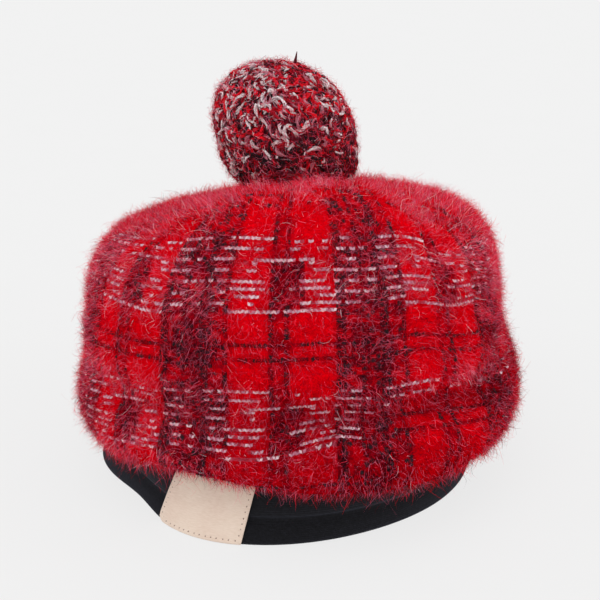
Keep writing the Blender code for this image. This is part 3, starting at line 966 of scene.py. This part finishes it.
def spread_roots(coat, fabric, rng):
    """Wales and courses of roots: a short coat's strewn evenly, a long one's in tufts."""
    wale = rng.uniform(0, WALES, coat.count * 4)
    course = rng.uniform(HAIR_TOP, HAIR_BOTTOM, coat.count * 4)
    face = fabric.point(wale, course)
    room = np.hypot(face[:, 0], face[:, 1]) / HAIR_RADIUS
    if is_long(coat):
        room = room * rng.uniform(*TUFT_FILL, TUFT_TABLE)[tuft_at(wale, course)]
    kept = rng.random(wale.size) < room
    return wale[kept][:coat.count], course[kept][:coat.count]


def grow_coat(coat, fabric, yarn_grid, finishes, rng):
    wale, course = spread_roots(coat, fabric, rng)
    root, right, down, out = fabric.frame(wale, course)
    at_lip = np.clip((course - LIP_COURSE) / LIP_REACH, 0.0, 1.0)
    hang = (HANG + LIP_HANG * at_lip) * rng.uniform(0.4, 1.2, wale.size)
    angle = fabric.angle(wale)
    haze = strength_at(HAZES, angle, course)
    lift = np.maximum(np.clip((BASE_COURSE - course) / BASE_REACH, 0.0, BASE_LIFT),
                      haze * (course < 0) * RIDGE_LIFTS[is_long(coat)])
    tuft = tuft_at(wale, course)
    tuft_rng = np.random.default_rng(TUFT_SEED)
    heading = (hair_flow(angle, course)
               + tuft_rng.normal(0.0, TUFT_STRAY, TUFT_TABLE)[tuft])
    haze = np.minimum(haze * tuft_rng.uniform(*TUFT_HAZE, TUFT_TABLE)[tuft], 1.0)
    paths = hair_paths(root - out * ROOT_DEPTH, right, down, out, heading, hang, lift, coat,
                       rng)
    if is_long(coat):
        size = 1 - LIP_TRIM * at_lip
        paths = root[:, None] + (paths - root[:, None]) * size[:, None, None]
    line = course + rng.normal(0.0, ROOT_STRAY, wale.size) + COURSES_ABOVE
    line = np.clip(line, 0, yarn_grid.shape[0] - 1).astype(int)
    column = (wale + rng.normal(0.0, ROOT_STRAY, wale.size)).astype(int) % WALES
    # painted shade: darker hair in the folds' valleys, the crease and under the lip
    painted_shade = strength_at(PAINTED_SHADE_ZONES, angle, course)
    shade = hair_shade(yarn_grid[line, column], haze, painted_shade, rng)
    return make_hair(coat, paths, out, shade, finishes, rng)


def make_hair(coat, paths, out, shade, finishes, rng):
    """Ribbons along the paths, some of them with a paler last stretch."""
    taper = np.linspace(1.0, HAIR_TAPER, coat.stations)[None, :]
    widths = coat.width * rng.uniform(0.7, 1.3, (len(paths), 1)) * taper
    sides = unit(rng.normal(size=(len(paths), 3)) + out)
    points, quads, tips = ribbons(paths, widths, sides)
    pale = rng.random(shade.size) < TIP_SHARE
    tip = np.where(pale, picked(TIP_MIX, rng.random(shade.size)), shade)
    finish = np.repeat(shade, coat.stations - 2)
    if is_long(coat):
        finish[coat.stations - 3::coat.stations - 2] = tip
    finish = np.concatenate([finish, shade if coat.stations == 2 else tip])
    groups = [quads, tips] if len(quads) else [tips]
    return make_piece(coat.name, points, groups, finishes, finish, smooth=False)


# ---- Headband ----

BAND_RIBS = 620
RIB_DEPTH = 0.4
RIB_TOP = 12.5               # at the turn-up the ribs grow shallow, to this height,
SHALLOW_RIBS = 0.25          # and keep this share of their depth above it
RIB_LEAN = 1.6               # degrees that a rib leans between its foot and RIB_TOP
TURN_UP_PITCH = 1.0          # height of the turn-up's fine rows
BAND_ROWS_UP = [0.0, 0.4, 0.9, 3.0, 5.0, 7.0, 9.5, 11.2, 12.0, 12.8, 14.0, 17.0, 20.0,
                24.0, 30.0, BAND_HEIGHT]
BAND_INNER_COLUMNS = 180
# Height of each row of the inner face and how far it lies inside the outer one.
BAND_INNER_ROWS = [(BAND_HEIGHT, 0.0), (BAND_HEIGHT, BAND_THICKNESS),
                   (12.0, BAND_THICKNESS), (3.0, BAND_THICKNESS), (0.4, 2.1), (0.0, 1.4),
                   (0.0, 0.1)]
BAND_BLACK = (0.032, 0.032, 0.045)
BAND_LINT = (0.085, 0.085, 0.105)


def band_outline(angle, height, inset):
    """Points round the band at a height, moved inward from its outline there."""
    turn = np.radians(angle)
    radius = 1 / np.hypot(np.cos(turn) / (BAND_HALF_WIDTH - inset),
                          np.sin(turn) / (BAND_HALF_DEPTH - inset))
    fade = 1 - height / BAND_HEIGHT
    for flat in BAND_FLATS:
        reach = bell(angle_between(angle, flat.angle), flat.spread)
        radius = radius - flat.depth * reach * fade
    x, y = (top + (low - top) * fade for low, top in zip(BAND_CENTRE, BAND_TOP_CENTRE))
    return np.stack([x + radius * np.cos(turn), y + radius * np.sin(turn),
                     height + 0 * radius], axis=-1)


def band_inset(height):
    return np.interp(height, BAND_HEIGHTS, BAND_INSETS)


def build_band():
    columns = 2 * BAND_RIBS
    angle = np.arange(columns) * 360.0 / columns
    rib = np.where(np.arange(columns) % 2 == 0, 0.0, 1.0)
    rings = []
    for height in BAND_ROWS_UP:
        ribbed = np.clip((RIB_TOP - height) / 2.0, SHALLOW_RIBS, 1.0)
        inset = band_inset(height) + rib * RIB_DEPTH * ribbed + 0.1
        lean = RIB_LEAN * (1 - height / RIB_TOP) if height < RIB_TOP else 0.0
        rings.append(band_outline(angle + lean, height, inset))
    points = np.concatenate(rings)
    quads = grid_faces(len(rings), columns, closed=True)[:, ::-1]
    inner_angle = np.arange(BAND_INNER_COLUMNS) * 360.0 / BAND_INNER_COLUMNS
    inner = [band_outline(inner_angle, height, band_inset(height) + depth)
             for height, depth in BAND_INNER_ROWS]
    inner_quads = grid_faces(len(inner), BAND_INNER_COLUMNS, closed=True)[:, ::-1]
    return make_piece("band_rib_knit", np.concatenate([points, *inner]),
                      [np.concatenate([quads, inner_quads + len(points)])],
                      [band_material()])


def band_material():
    nodes = Nodes("black rib knit")
    lint = nodes.noise(900.0, 3.0)
    _, _, height = nodes.parts(nodes.add("TexCoord").outputs["Object"])
    rows = nodes.math("SINE", nodes.times(height, 2 * math.pi / (TURN_UP_PITCH * MM)))
    weave = nodes.noise(3000.0)
    colour = nodes.blotches(lint, BAND_BLACK, BAND_LINT, 0.4, 0.75)
    nodes.bump(nodes.plus(nodes.times(rows, 0.35), weave), 0.2, 0.7)
    nodes.sheen(0.25, (0.45, 0.46, 0.55))
    return nodes.finished(colour, 0.85, 0.2)


# ---- Label ----

LABEL_COLUMNS = 88
LABEL_ROWS = 67
LABEL_BACK_COLUMNS = 11
LABEL_BACK_ROWS = 4
LABEL_BACK = LABEL_LIFT - 0.35       # its back above the band's face
LABEL_HEM = 1.5              # width of its turned edge,
HEM_STEP = 0.4               # of the slope down from it,
HEM_RISE = 0.2               # and how far it stands up
EDGE_WIDTH = 0.5             # the outermost strip is rounded off
EDGE_DROP = 0.3
HOLE_START = (1.5, 2.6)      # of the bottom and the side rows, past the margin
HOLE_SPACING = 2.7
HOLE_MARGIN = 1.7
HOLE_RADIUS = 0.4
HOLE_DEPTH = 0.5
LABEL_CREAM = (0.83, 0.75, 0.68)
LABEL_WORN = (0.80, 0.70, 0.63)
LABEL_THREAD = (0.94, 0.88, 0.84)
# painted shade in the dents of the needle holes
HOLE_PAINTED_SHADE = (0.42, 0.33, 0.31)


def label_place(share, height, lift):
    """The cloth lies smooth over the turn-up of the band."""
    half_turn = math.degrees(LABEL_WIDTH / 2 / LABEL_RADIUS) - LABEL_TAPER * height
    angle = LABEL_ANGLE + LABEL_LEAN * height + half_turn * (2 * share - 1)
    inset = np.interp(height, LABEL_HEIGHTS, LABEL_INSETS)
    return band_outline(angle, height, inset - lift)


def label_grid(columns, rows):
    """Share across, height and height of the lower edge on a grid over the label."""
    share = np.linspace(0, 1, columns + 1)
    inward = np.minimum(share * LABEL_WIDTH, LABEL_CORNER)
    low = (LABEL_BOTTOM + LABEL_CORNER
           - np.sqrt(LABEL_CORNER ** 2 - (LABEL_CORNER - inward) ** 2))
    height = low + (LABEL_TOP - low) * np.linspace(0, 1, rows + 1)[:, None]
    return np.broadcast_to(share, height.shape), height, low


def build_label():
    across, height, low = label_grid(LABEL_COLUMNS, LABEL_ROWS)
    from_side = np.minimum(across * LABEL_WIDTH, (1 - across) * LABEL_WIDTH)
    edge = np.minimum(from_side, height - low)
    dent = np.zeros_like(height)
    for hole_x, hole_z in label_holes():
        apart = np.hypot(across * LABEL_WIDTH - hole_x, height - hole_z)
        dent += HOLE_DEPTH * bell(apart, HOLE_RADIUS)
    hem = (HEM_RISE * (1 - np.clip((edge - LABEL_HEM) / HEM_STEP, 0, 1))
           - EDGE_DROP * np.clip(1 - edge / EDGE_WIDTH, 0, 1))
    wave = 0.3 * np.sin(across * 5.0 + height * 0.16) + 0.12 * np.sin(height * 0.5 + 1.0)
    front = LABEL_BACK + LABEL_THICKNESS + hem + wave * np.clip(edge / 5, 0, 1) - dent
    points = [label_place(across.ravel(), height.ravel(), front.ravel())]
    quads = grid_faces(LABEL_ROWS + 1, LABEL_COLUMNS + 1, closed=False)[:, ::-1]
    index = np.arange(across.size).reshape(across.shape)
    rim = np.concatenate([index[0, :], index[1:, -1], index[-1, -2::-1],
                          index[-2:0:-1, 0]])
    points.append(label_place(across.ravel()[rim], height.ravel()[rim], LABEL_BACK))
    low_rim = across.size + np.arange(rim.size)
    walls = np.stack([low_rim, np.roll(low_rim, -1), np.roll(rim, -1), rim], axis=-1)
    across, height, _ = label_grid(LABEL_BACK_COLUMNS, LABEL_BACK_ROWS)
    points.append(label_place(across.ravel(), height.ravel(), LABEL_BACK))
    back_quads = grid_faces(LABEL_BACK_ROWS + 1, LABEL_BACK_COLUMNS + 1, closed=False)
    back_quads += low_rim[-1] + 1
    finish = np.zeros(len(quads) + len(walls) + len(back_quads), int)
    # the quads of the needle holes take the painted shade
    finish[:len(quads)] = at_holes()
    return make_piece("label_cloth", np.concatenate(points),
                      [np.concatenate([quads, walls, back_quads])],
                      [label_material(), plain_material("needle hole", HOLE_PAINTED_SHADE)],
                      finish)


def at_holes():
    """1 for the quad of the front's grid that each needle hole lies in, else 0."""
    marked = np.zeros((LABEL_ROWS, LABEL_COLUMNS), int)
    for hole_x, hole_z in label_holes():
        column = int(hole_x / LABEL_WIDTH * LABEL_COLUMNS)
        line = int((hole_z - LABEL_BOTTOM) / (LABEL_TOP - LABEL_BOTTOM) * LABEL_ROWS)
        marked[min(line, LABEL_ROWS - 1), min(column, LABEL_COLUMNS - 1)] = 1
    return marked.ravel()


def label_holes():
    """Places of the needle holes along the lower edge and up both sides."""
    holes = []
    for x in np.arange(HOLE_MARGIN + HOLE_START[0], LABEL_WIDTH - 1.0, HOLE_SPACING):
        holes.append((x, LABEL_BOTTOM + HOLE_MARGIN + (0.9 if x < 5 else 0.0)))
    for z in np.arange(LABEL_BOTTOM + HOLE_MARGIN + HOLE_START[1], LABEL_TOP, HOLE_SPACING):
        holes += [(HOLE_MARGIN, z), (LABEL_WIDTH - HOLE_MARGIN, z)]
    return holes


def label_material():
    nodes = Nodes("label satin cloth")
    cloud = nodes.noise(60.0, 3.0)
    thread = nodes.noise(1800.0, stretch=(0.25, 0.25, 1.6))
    colour = nodes.blotches(cloud, LABEL_CREAM, LABEL_WORN)
    colour = nodes.mix(nodes.between(thread, 0.3, 0.8, 0.0, 0.35), colour, LABEL_THREAD)
    nodes.bump(thread, 0.1, 0.5)
    nodes.sheen(0.15)
    return nodes.finished(colour, 0.55, 0.35)


# ---- Pompom ----

LOOPS = 2350
LOOP_LENGTH = 8.2
LOOP_THICKNESS = 1.2         # of each of its plies
LOOP_PLIES = 2
PLY_APART = 0.9
LOOP_STATIONS = 6
LOOP_SIDES = 3
LOOP_SHADE_STAYS = 0.85      # how often a ply keeps its shade from station to station
PLIES_ALIKE = 0.7            # of the loops have two plies of the same shades
YARN_DEPTHS = (1.7, 3.4)     # least and most that a loop's middle lies inside the ball
CORE_DEPTH = 4.2
CORE_SHADE = 2
CORE_LATITUDES = 25
CORE_LONGITUDES = 48
YARN_SHADES = [
    ("yarn red", (0.86, 0.02, 0.10)),
    ("yarn dark red", (0.58, 0.02, 0.09)),
    ("yarn maroon", (0.30, 0.04, 0.10)),
    ("yarn charcoal", (0.09, 0.05, 0.07)),
    ("yarn off white", (0.90, 0.83, 0.84)),
    ("yarn pink grey", (0.72, 0.44, 0.50)),
]
RED_SHARES = (0.40, 0.20, 0.11, 0.14, 0.08, 0.07)    # how often each shows among the red
# Dark and white clumps: waves, each by how fast it runs along x, y and z, in radians a
# centimetre, and its start; how their strength grows upward and rightward and where it
# starts; and how often each shade shows there.
Clumps = namedtuple("Clumps", "waves upward rightward start shares")
CLUMPS = [
    Clumps([(1.6, 0.0, -2.1, 1.0), (0.0, 2.3, 1.2, 4.0), (4.7, 0.0, 5.1, 0.0)],
           -0.46, 0.0, 0.24, (0.05, 0.09, 0.18, 0.58, 0.05, 0.05)),
    Clumps([(1.9, 0.0, 1.3, 0.5), (0.0, -1.7, 2.6, 2.0), (5.7, 0.0, -4.9, 1.1)],
           0.20, -0.10, -0.33, (0.10, 0.06, 0.05, 0.17, 0.50, 0.12)),
]
CLUMP_STRAY = 0.3            # how ragged their edges are
HOLE = (22.0, 274.0, 4.0)    # a dark gap in the yarn: latitude, longitude, radius in mm
SPIKE = (71.0, 20.0, 4.0)    # a loose end: latitude, longitude, length in mm


def pompom_point(latitude, longitude, depth, centre):
    """Points that lie a depth inside the ball's outside."""
    up = np.sin(np.radians(latitude))
    out = np.cos(np.radians(latitude))
    power = np.where(latitude > 0, POMPOM_TOP_SQUARENESS, POMPOM_BASE_SQUARENESS)
    reach = (np.abs(up) ** power + np.abs(out) ** power) ** (-1 / power)
    radius = (POMPOM_RADIUS - depth) * out * reach
    height = (POMPOM_HEIGHT / 2 - depth) * up * reach
    turn = np.radians(longitude)
    x = radius * np.cos(turn) + POMPOM_LEAN[0] * height
    y = radius * np.sin(turn) + POMPOM_LEAN[1] * height
    return centre + np.stack([x, y, height], axis=-1)


def pompom_frame(latitude, longitude, centre):
    """Points of the ball with their sideways, upward and outward directions."""
    middle = pompom_point(latitude, longitude, 0.0, centre)
    up = unit(pompom_point(latitude + 1.5, longitude, 0.0, centre)
              - pompom_point(latitude - 1.5, longitude, 0.0, centre))
    side = unit(pompom_point(latitude, longitude + 1.5, 0.0, centre)
                - pompom_point(latitude, longitude - 1.5, 0.0, centre))
    return middle, side, up, unit(np.cross(side, up))


def tubes(paths, girths, sides):
    """Closed tubes: paths is tubes x stations x 3 and girths tubes x stations."""
    count, stations, _ = paths.shape
    along = unit(np.gradient(paths, axis=1))
    pole = unit(np.cross(along[:, :1] + 0.3, paths[:, -1:] - paths[:, :1] + 0.11))
    first = unit(np.cross(along, pole + np.zeros_like(along)))
    second = np.cross(along, first)
    turn = 2 * math.pi * np.arange(sides) / sides
    ring = (first[:, :, None, :] * np.cos(turn)[:, None]
            + second[:, :, None, :] * np.sin(turn)[:, None])
    points = paths[:, :, None, :] + ring * girths[:, :, None, None] / 2
    base = (np.arange(count) * stations * sides)[:, None, None]
    here = base + (np.arange(stations - 1) * sides)[None, :, None]
    side = np.arange(sides)[None, None, :]
    after = (side + 1) % sides
    quads = np.stack([here + side, here + after, here + sides + after, here + sides + side],
                     axis=-1)
    caps = [base[:, 0] + np.arange(sides)[::-1],
            base[:, 0] + (stations - 1) * sides + np.arange(sides)]
    return points.reshape(-1, 3), quads.reshape(-1, 4), np.concatenate(caps)


def yarn_loops(centre, rng):
    """Paths of loops of yarn that curl over the ball, and the loose end's."""
    latitude = np.degrees(np.arcsin(rng.uniform(-0.99, 0.995, LOOPS)))
    longitude = rng.uniform(0.0, 360.0, LOOPS)
    hole = pompom_point(np.array([HOLE[0]]), np.array([HOLE[1]]), 0.0, centre)[0]
    apart = np.linalg.norm(pompom_point(latitude, longitude, 0.0, centre) - hole, axis=1)
    latitude, longitude = (values[apart > HOLE[2]] for values in (latitude, longitude))
    middle, right, up, out = pompom_frame(latitude, longitude, centre)
    count = len(middle)
    swirl = (1.4 * np.sin(np.radians(3 * longitude + 2 * latitude))
             + 1.0 * np.sin(np.radians(7 * longitude - 5 * latitude)))
    heading = swirl + rng.normal(0.0, 0.9, count)
    bend = rng.choice([-1.0, 1.0], count) * rng.uniform(1.2, 4.0, count)
    length = LOOP_LENGTH * rng.uniform(0.6, 1.25, count)
    depth = rng.uniform(*YARN_DEPTHS, count)
    step = (length / (LOOP_STATIONS - 1))[:, None]
    flat = np.zeros((count, 2))
    spots = [flat]
    for station in range(LOOP_STATIONS - 1):
        share = (station + 0.5) / (LOOP_STATIONS - 1) - 0.5
        way = heading + bend * share
        flat = flat + np.stack([np.cos(way), np.sin(way)], axis=-1) * step
        spots.append(flat)
    spots = np.stack(spots, axis=1)
    spots = spots - spots.mean(axis=1, keepdims=True)
    place = np.linspace(-1.0, 1.0, LOOP_STATIONS)
    along = unit(np.gradient(spots, axis=1))
    aside = np.stack([-along[..., 1], along[..., 0]], axis=-1)
    start = rng.uniform(0, 2 * math.pi, count)[:, None]
    paths = []
    for ply in range(LOOP_PLIES):
        phase = start + 2.6 * place + 2 * math.pi * ply / LOOP_PLIES
        shifted = spots + aside * (np.cos(phase) * PLY_APART / 2)[..., None]
        sunk = (depth[:, None] + (spots ** 2).sum(axis=-1) / (2 * POMPOM_RADIUS)
                + 1.3 * place ** 4 - np.sin(phase) * PLY_APART / 2)[..., None]
        paths.append(middle[:, None] + right[:, None] * shifted[..., :1]
                     + up[:, None] * shifted[..., 1:] - out[:, None] * sunk)
    foot, side, _, out = pompom_frame(np.array([SPIKE[0]]), np.array([SPIKE[1]]), centre)
    reach = (np.linspace(-0.6, 1.0, LOOP_STATIONS) * SPIKE[2])[None, :, None]
    spike = foot[:, None] + (out[:, None] * [0.4, 0.4, 1.0] - side[:, None] * 0.1) * reach
    return np.concatenate([*paths, spike])


def clump_shades(places, centre, rng):
    """A shade for each place in the yarn: smooth clumps of red, dark and white, the
    top left whiter and the lower half darker."""
    x, y, z = ((places - centre) / 10.0).T
    chance = rng.random(len(places))
    shade = np.searchsorted(np.cumsum(RED_SHARES), chance)
    for clumps in CLUMPS:
        wave = sum(np.sin(by_x * x + by_y * y + by_z * z + start)
                   for by_x, by_y, by_z, start in clumps.waves) / len(clumps.waves)
        strength = wave + clumps.upward * z + clumps.rightward * x + clumps.start
        here = strength > rng.normal(0.0, CLUMP_STRAY, len(places))
        shade[here] = np.searchsorted(np.cumsum(clumps.shares), chance[here])
    return np.minimum(shade, len(YARN_SHADES) - 1)


def build_pompom(centre, rng):
    """Loops of yarn round a plain core."""
    paths = yarn_loops(centre, rng)
    place = np.linspace(-1, 1, LOOP_STATIONS)
    girths = (LOOP_THICKNESS * (1 - 0.6 * np.abs(place) ** 3)[None, :]
              * rng.uniform(0.75, 1.2, (len(paths), 1)))
    girths[-1] = LOOP_THICKNESS * np.linspace(2.0, 0.3, LOOP_STATIONS)
    points, quads, caps = tubes(paths, girths, LOOP_SIDES)
    middles = (paths[:, :-1] + paths[:, 1:]) / 2
    part = clump_shades(middles.reshape(-1, 3), centre, rng).reshape(len(paths), -1)
    steady = rng.random(part.shape) < LOOP_SHADE_STAYS
    for station in range(1, part.shape[1]):
        part[:, station] = np.where(steady[:, station], part[:, station - 1],
                                    part[:, station])
    loops = (len(part) - 1) // LOOP_PLIES
    alike = rng.random(loops) < PLIES_ALIKE
    part[loops:2 * loops][alike] = part[:loops][alike]
    part[-1] = CORE_SHADE
    grid_lon, grid_lat = np.meshgrid(np.arange(CORE_LONGITUDES) * 360.0 / CORE_LONGITUDES,
                                     np.linspace(-89.0, 89.0, CORE_LATITUDES))
    core = pompom_point(grid_lat.ravel(), grid_lon.ravel(), CORE_DEPTH, centre)
    core_quads = grid_faces(CORE_LATITUDES, CORE_LONGITUDES, closed=True)[:, ::-1]
    ends = np.arange(2) * (CORE_LATITUDES - 1) * CORE_LONGITUDES
    core_caps = ends[:, None] + np.arange(CORE_LONGITUDES)
    finish = np.concatenate([np.repeat(part.ravel(), LOOP_SIDES),
                             np.full(len(core_quads), CORE_SHADE),
                             part[:, 0], part[:, -1], np.full(len(core_caps), CORE_SHADE)])
    return make_piece("pompom_yarn", np.concatenate([points, core]),
                      [quads, core_quads + len(points), caps, core_caps + len(points)],
                      [yarn_material(name, colour) for name, colour in YARN_SHADES], finish)


def yarn_material(name, colour):
    nodes = Nodes(name)
    fibre = nodes.noise(2200.0, 3.0)
    darker = tuple(0.72 * value for value in colour)
    lighter = tuple(min(1.0, 1.12 * value + 0.03) for value in colour)
    nodes.bump(fibre, 0.25, 0.7)
    nodes.sheen(0.1, (0.9, 0.6, 0.62))
    return nodes.finished(nodes.blotches(fibre, darker, lighter), 0.95, 0.1)


POMPOM_COAT = Coat("pompom_hair", 10500, 5, 5.5, 0.13, 5, 50, 50, 140, 90)
POMPOM_HAIR_DEPTH = 1.8      # of its roots inside the ball
POMPOM_HANG = 0.1
POMPOM_HAIR_MIX = (0.14, 0.16, 0.13, 0.11, 0.16, 0.12, 0.08, 0.03, 0.07)


def build_pompom_hair(centre, finishes, rng):
    count = POMPOM_COAT.count
    latitude = np.degrees(np.arcsin(rng.uniform(-0.9, 1.0, count)))
    longitude = rng.uniform(0, 360, count)
    middle, side, up, out = pompom_frame(latitude, longitude, centre)
    paths = hair_paths(middle - out * POMPOM_HAIR_DEPTH, side, -up, out,
                       rng.uniform(0, 6.28, count), POMPOM_HANG, 0.0, POMPOM_COAT, rng)
    shade = rng.choice(len(HAIR_SHADES), count, p=POMPOM_HAIR_MIX)
    return make_hair(POMPOM_COAT, paths, out, shade, finishes, rng)


# ---- Studio ----

FLOOR_HALF = 4.0
FLOOR_COLOUR = (0.35, 0.35, 0.35)
FLOOR_GRAIN = 0.004          # how much darker it is in places
FLOOR_GLOW = 0.765           # the floor is a light table, so the shadows on it are faint
SKY_STRENGTH = 0.863         # the sky has the same tone as the lit floor
# Each lamp: its strength, how many degrees wide it is, so that its shadows are soft, and
# how it turns: from overhead toward the viewer, and to the left.
Lamp = namedtuple("Lamp", "name strength size turn")
LAMPS = [
    Lamp("lamp", 0.8, 50.0, (34.0, -14.0)),
    Lamp("left lamp", 0.5, 60.0, (20.0, -72.0)),
    Lamp("right lamp", 1.0, 60.0, (20.0, 72.0)),
]
CAMERA_AIM = Vector((0.5, 0.0, 81.0)) * MM
CAMERA_DISTANCE = 0.7
CAMERA_RISE = 22.0           # degrees above level
CAMERA_LENS = 90.0
SENSOR = 36.0


def build_floor():
    mesh = bpy.data.meshes.new("floor")
    corners = [(x * FLOOR_HALF, y * FLOOR_HALF, 0)
               for x, y in ((-1, -1), (1, -1), (1, 1), (-1, 1))]
    mesh.from_pydata(corners, [], [(0, 1, 2, 3)])
    nodes = Nodes("floor paper")
    grain = nodes.noise(30.0)
    darker = tuple(value - FLOOR_GRAIN for value in FLOOR_COLOUR)
    colour = nodes.blotches(grain, FLOOR_COLOUR, darker, low=0.3)
    nodes.shader.inputs["Emission Color"].default_value = (1.0, 1.0, 1.0, 1.0)
    nodes.shader.inputs["Emission Strength"].default_value = FLOOR_GLOW
    mesh.materials.append(nodes.finished(colour, 1.0, 0.0))
    floor = add_object("floor", mesh)


def build_studio():
    build_floor()
    scene = bpy.context.scene
    world = bpy.data.worlds.new("studio")
    scene.world = world
    world.use_nodes = True
    sky = world.node_tree.nodes["Background"]
    sky.inputs["Color"].default_value = (1.0, 1.0, 1.0, 1.0)
    sky.inputs["Strength"].default_value = SKY_STRENGTH
    for lamp in LAMPS:
        light = bpy.data.lights.new(lamp.name, "SUN")
        light.energy = lamp.strength
        light.angle = math.radians(lamp.size)
        add_object(lamp.name, light).rotation_euler = (*np.radians(lamp.turn), 0.0)
    scene.view_settings.view_transform = "Standard"
    camera_data = bpy.data.cameras.new("camera")
    camera_data.lens = CAMERA_LENS
    camera_data.sensor_width = SENSOR
    camera = add_object("camera", camera_data)
    rise = math.radians(CAMERA_RISE)
    away = Vector((0, -math.cos(rise), math.sin(rise)))
    camera.location = CAMERA_AIM + away * CAMERA_DISTANCE
    camera.rotation_euler = (math.pi / 2 - rise, 0, 0)
    scene.camera = camera


# ---- The whole ----

def dress(piece, slot, *nodes):
    """The piece rides on the root body and stands for the nodes, which are hidden. The slot
    is not used.
    """
    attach(piece, "root")
    if nodes:
        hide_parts(*nodes)
    return piece


def main():
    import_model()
    rng = np.random.default_rng(42)
    fabric = Fabric()
    crown, yarn = build_crown(fabric, rng)
    dress(crown, "tartan_knit", "crown")
    dress(build_lining(fabric), "tartan_knit")
    white = [plain_material(name, colour, specular=0.1) for name, colour in (
        ("white yarn", WHITE), ("pale yarn", PALE), ("rose yarn", ROSE))]
    black = [plain_material("black yarn", BLACK), plain_material("dark yarn", DARK)]
    dress(white_stitches("crown_white_stitches", fabric, yarn, white, rng), "tartan_knit")
    dress(black_stitches("crown_black_stitches", fabric, yarn, black, rng), "tartan_knit")
    hair = [plain_material(name, colour, 1.0, 0.0) for name, colour in HAIR_SHADES]
    for coat in COATS:
        dress(grow_coat(coat, fabric, yarn, hair, rng), "tartan_knit")
    dress(build_band(), "black_rib", "headband")
    label = dress(build_label(), "label_cloth", "label")
    low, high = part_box("pompom")
    centre = np.array([*POMPOM_PLAN, (low.z + high.z) / 2 / MM])
    pompom = dress(build_pompom(centre, rng), "pompom_yarn", "pompom")
    dress(build_pompom_hair(centre, hair, rng), "pompom_yarn")
    build_studio()


main()
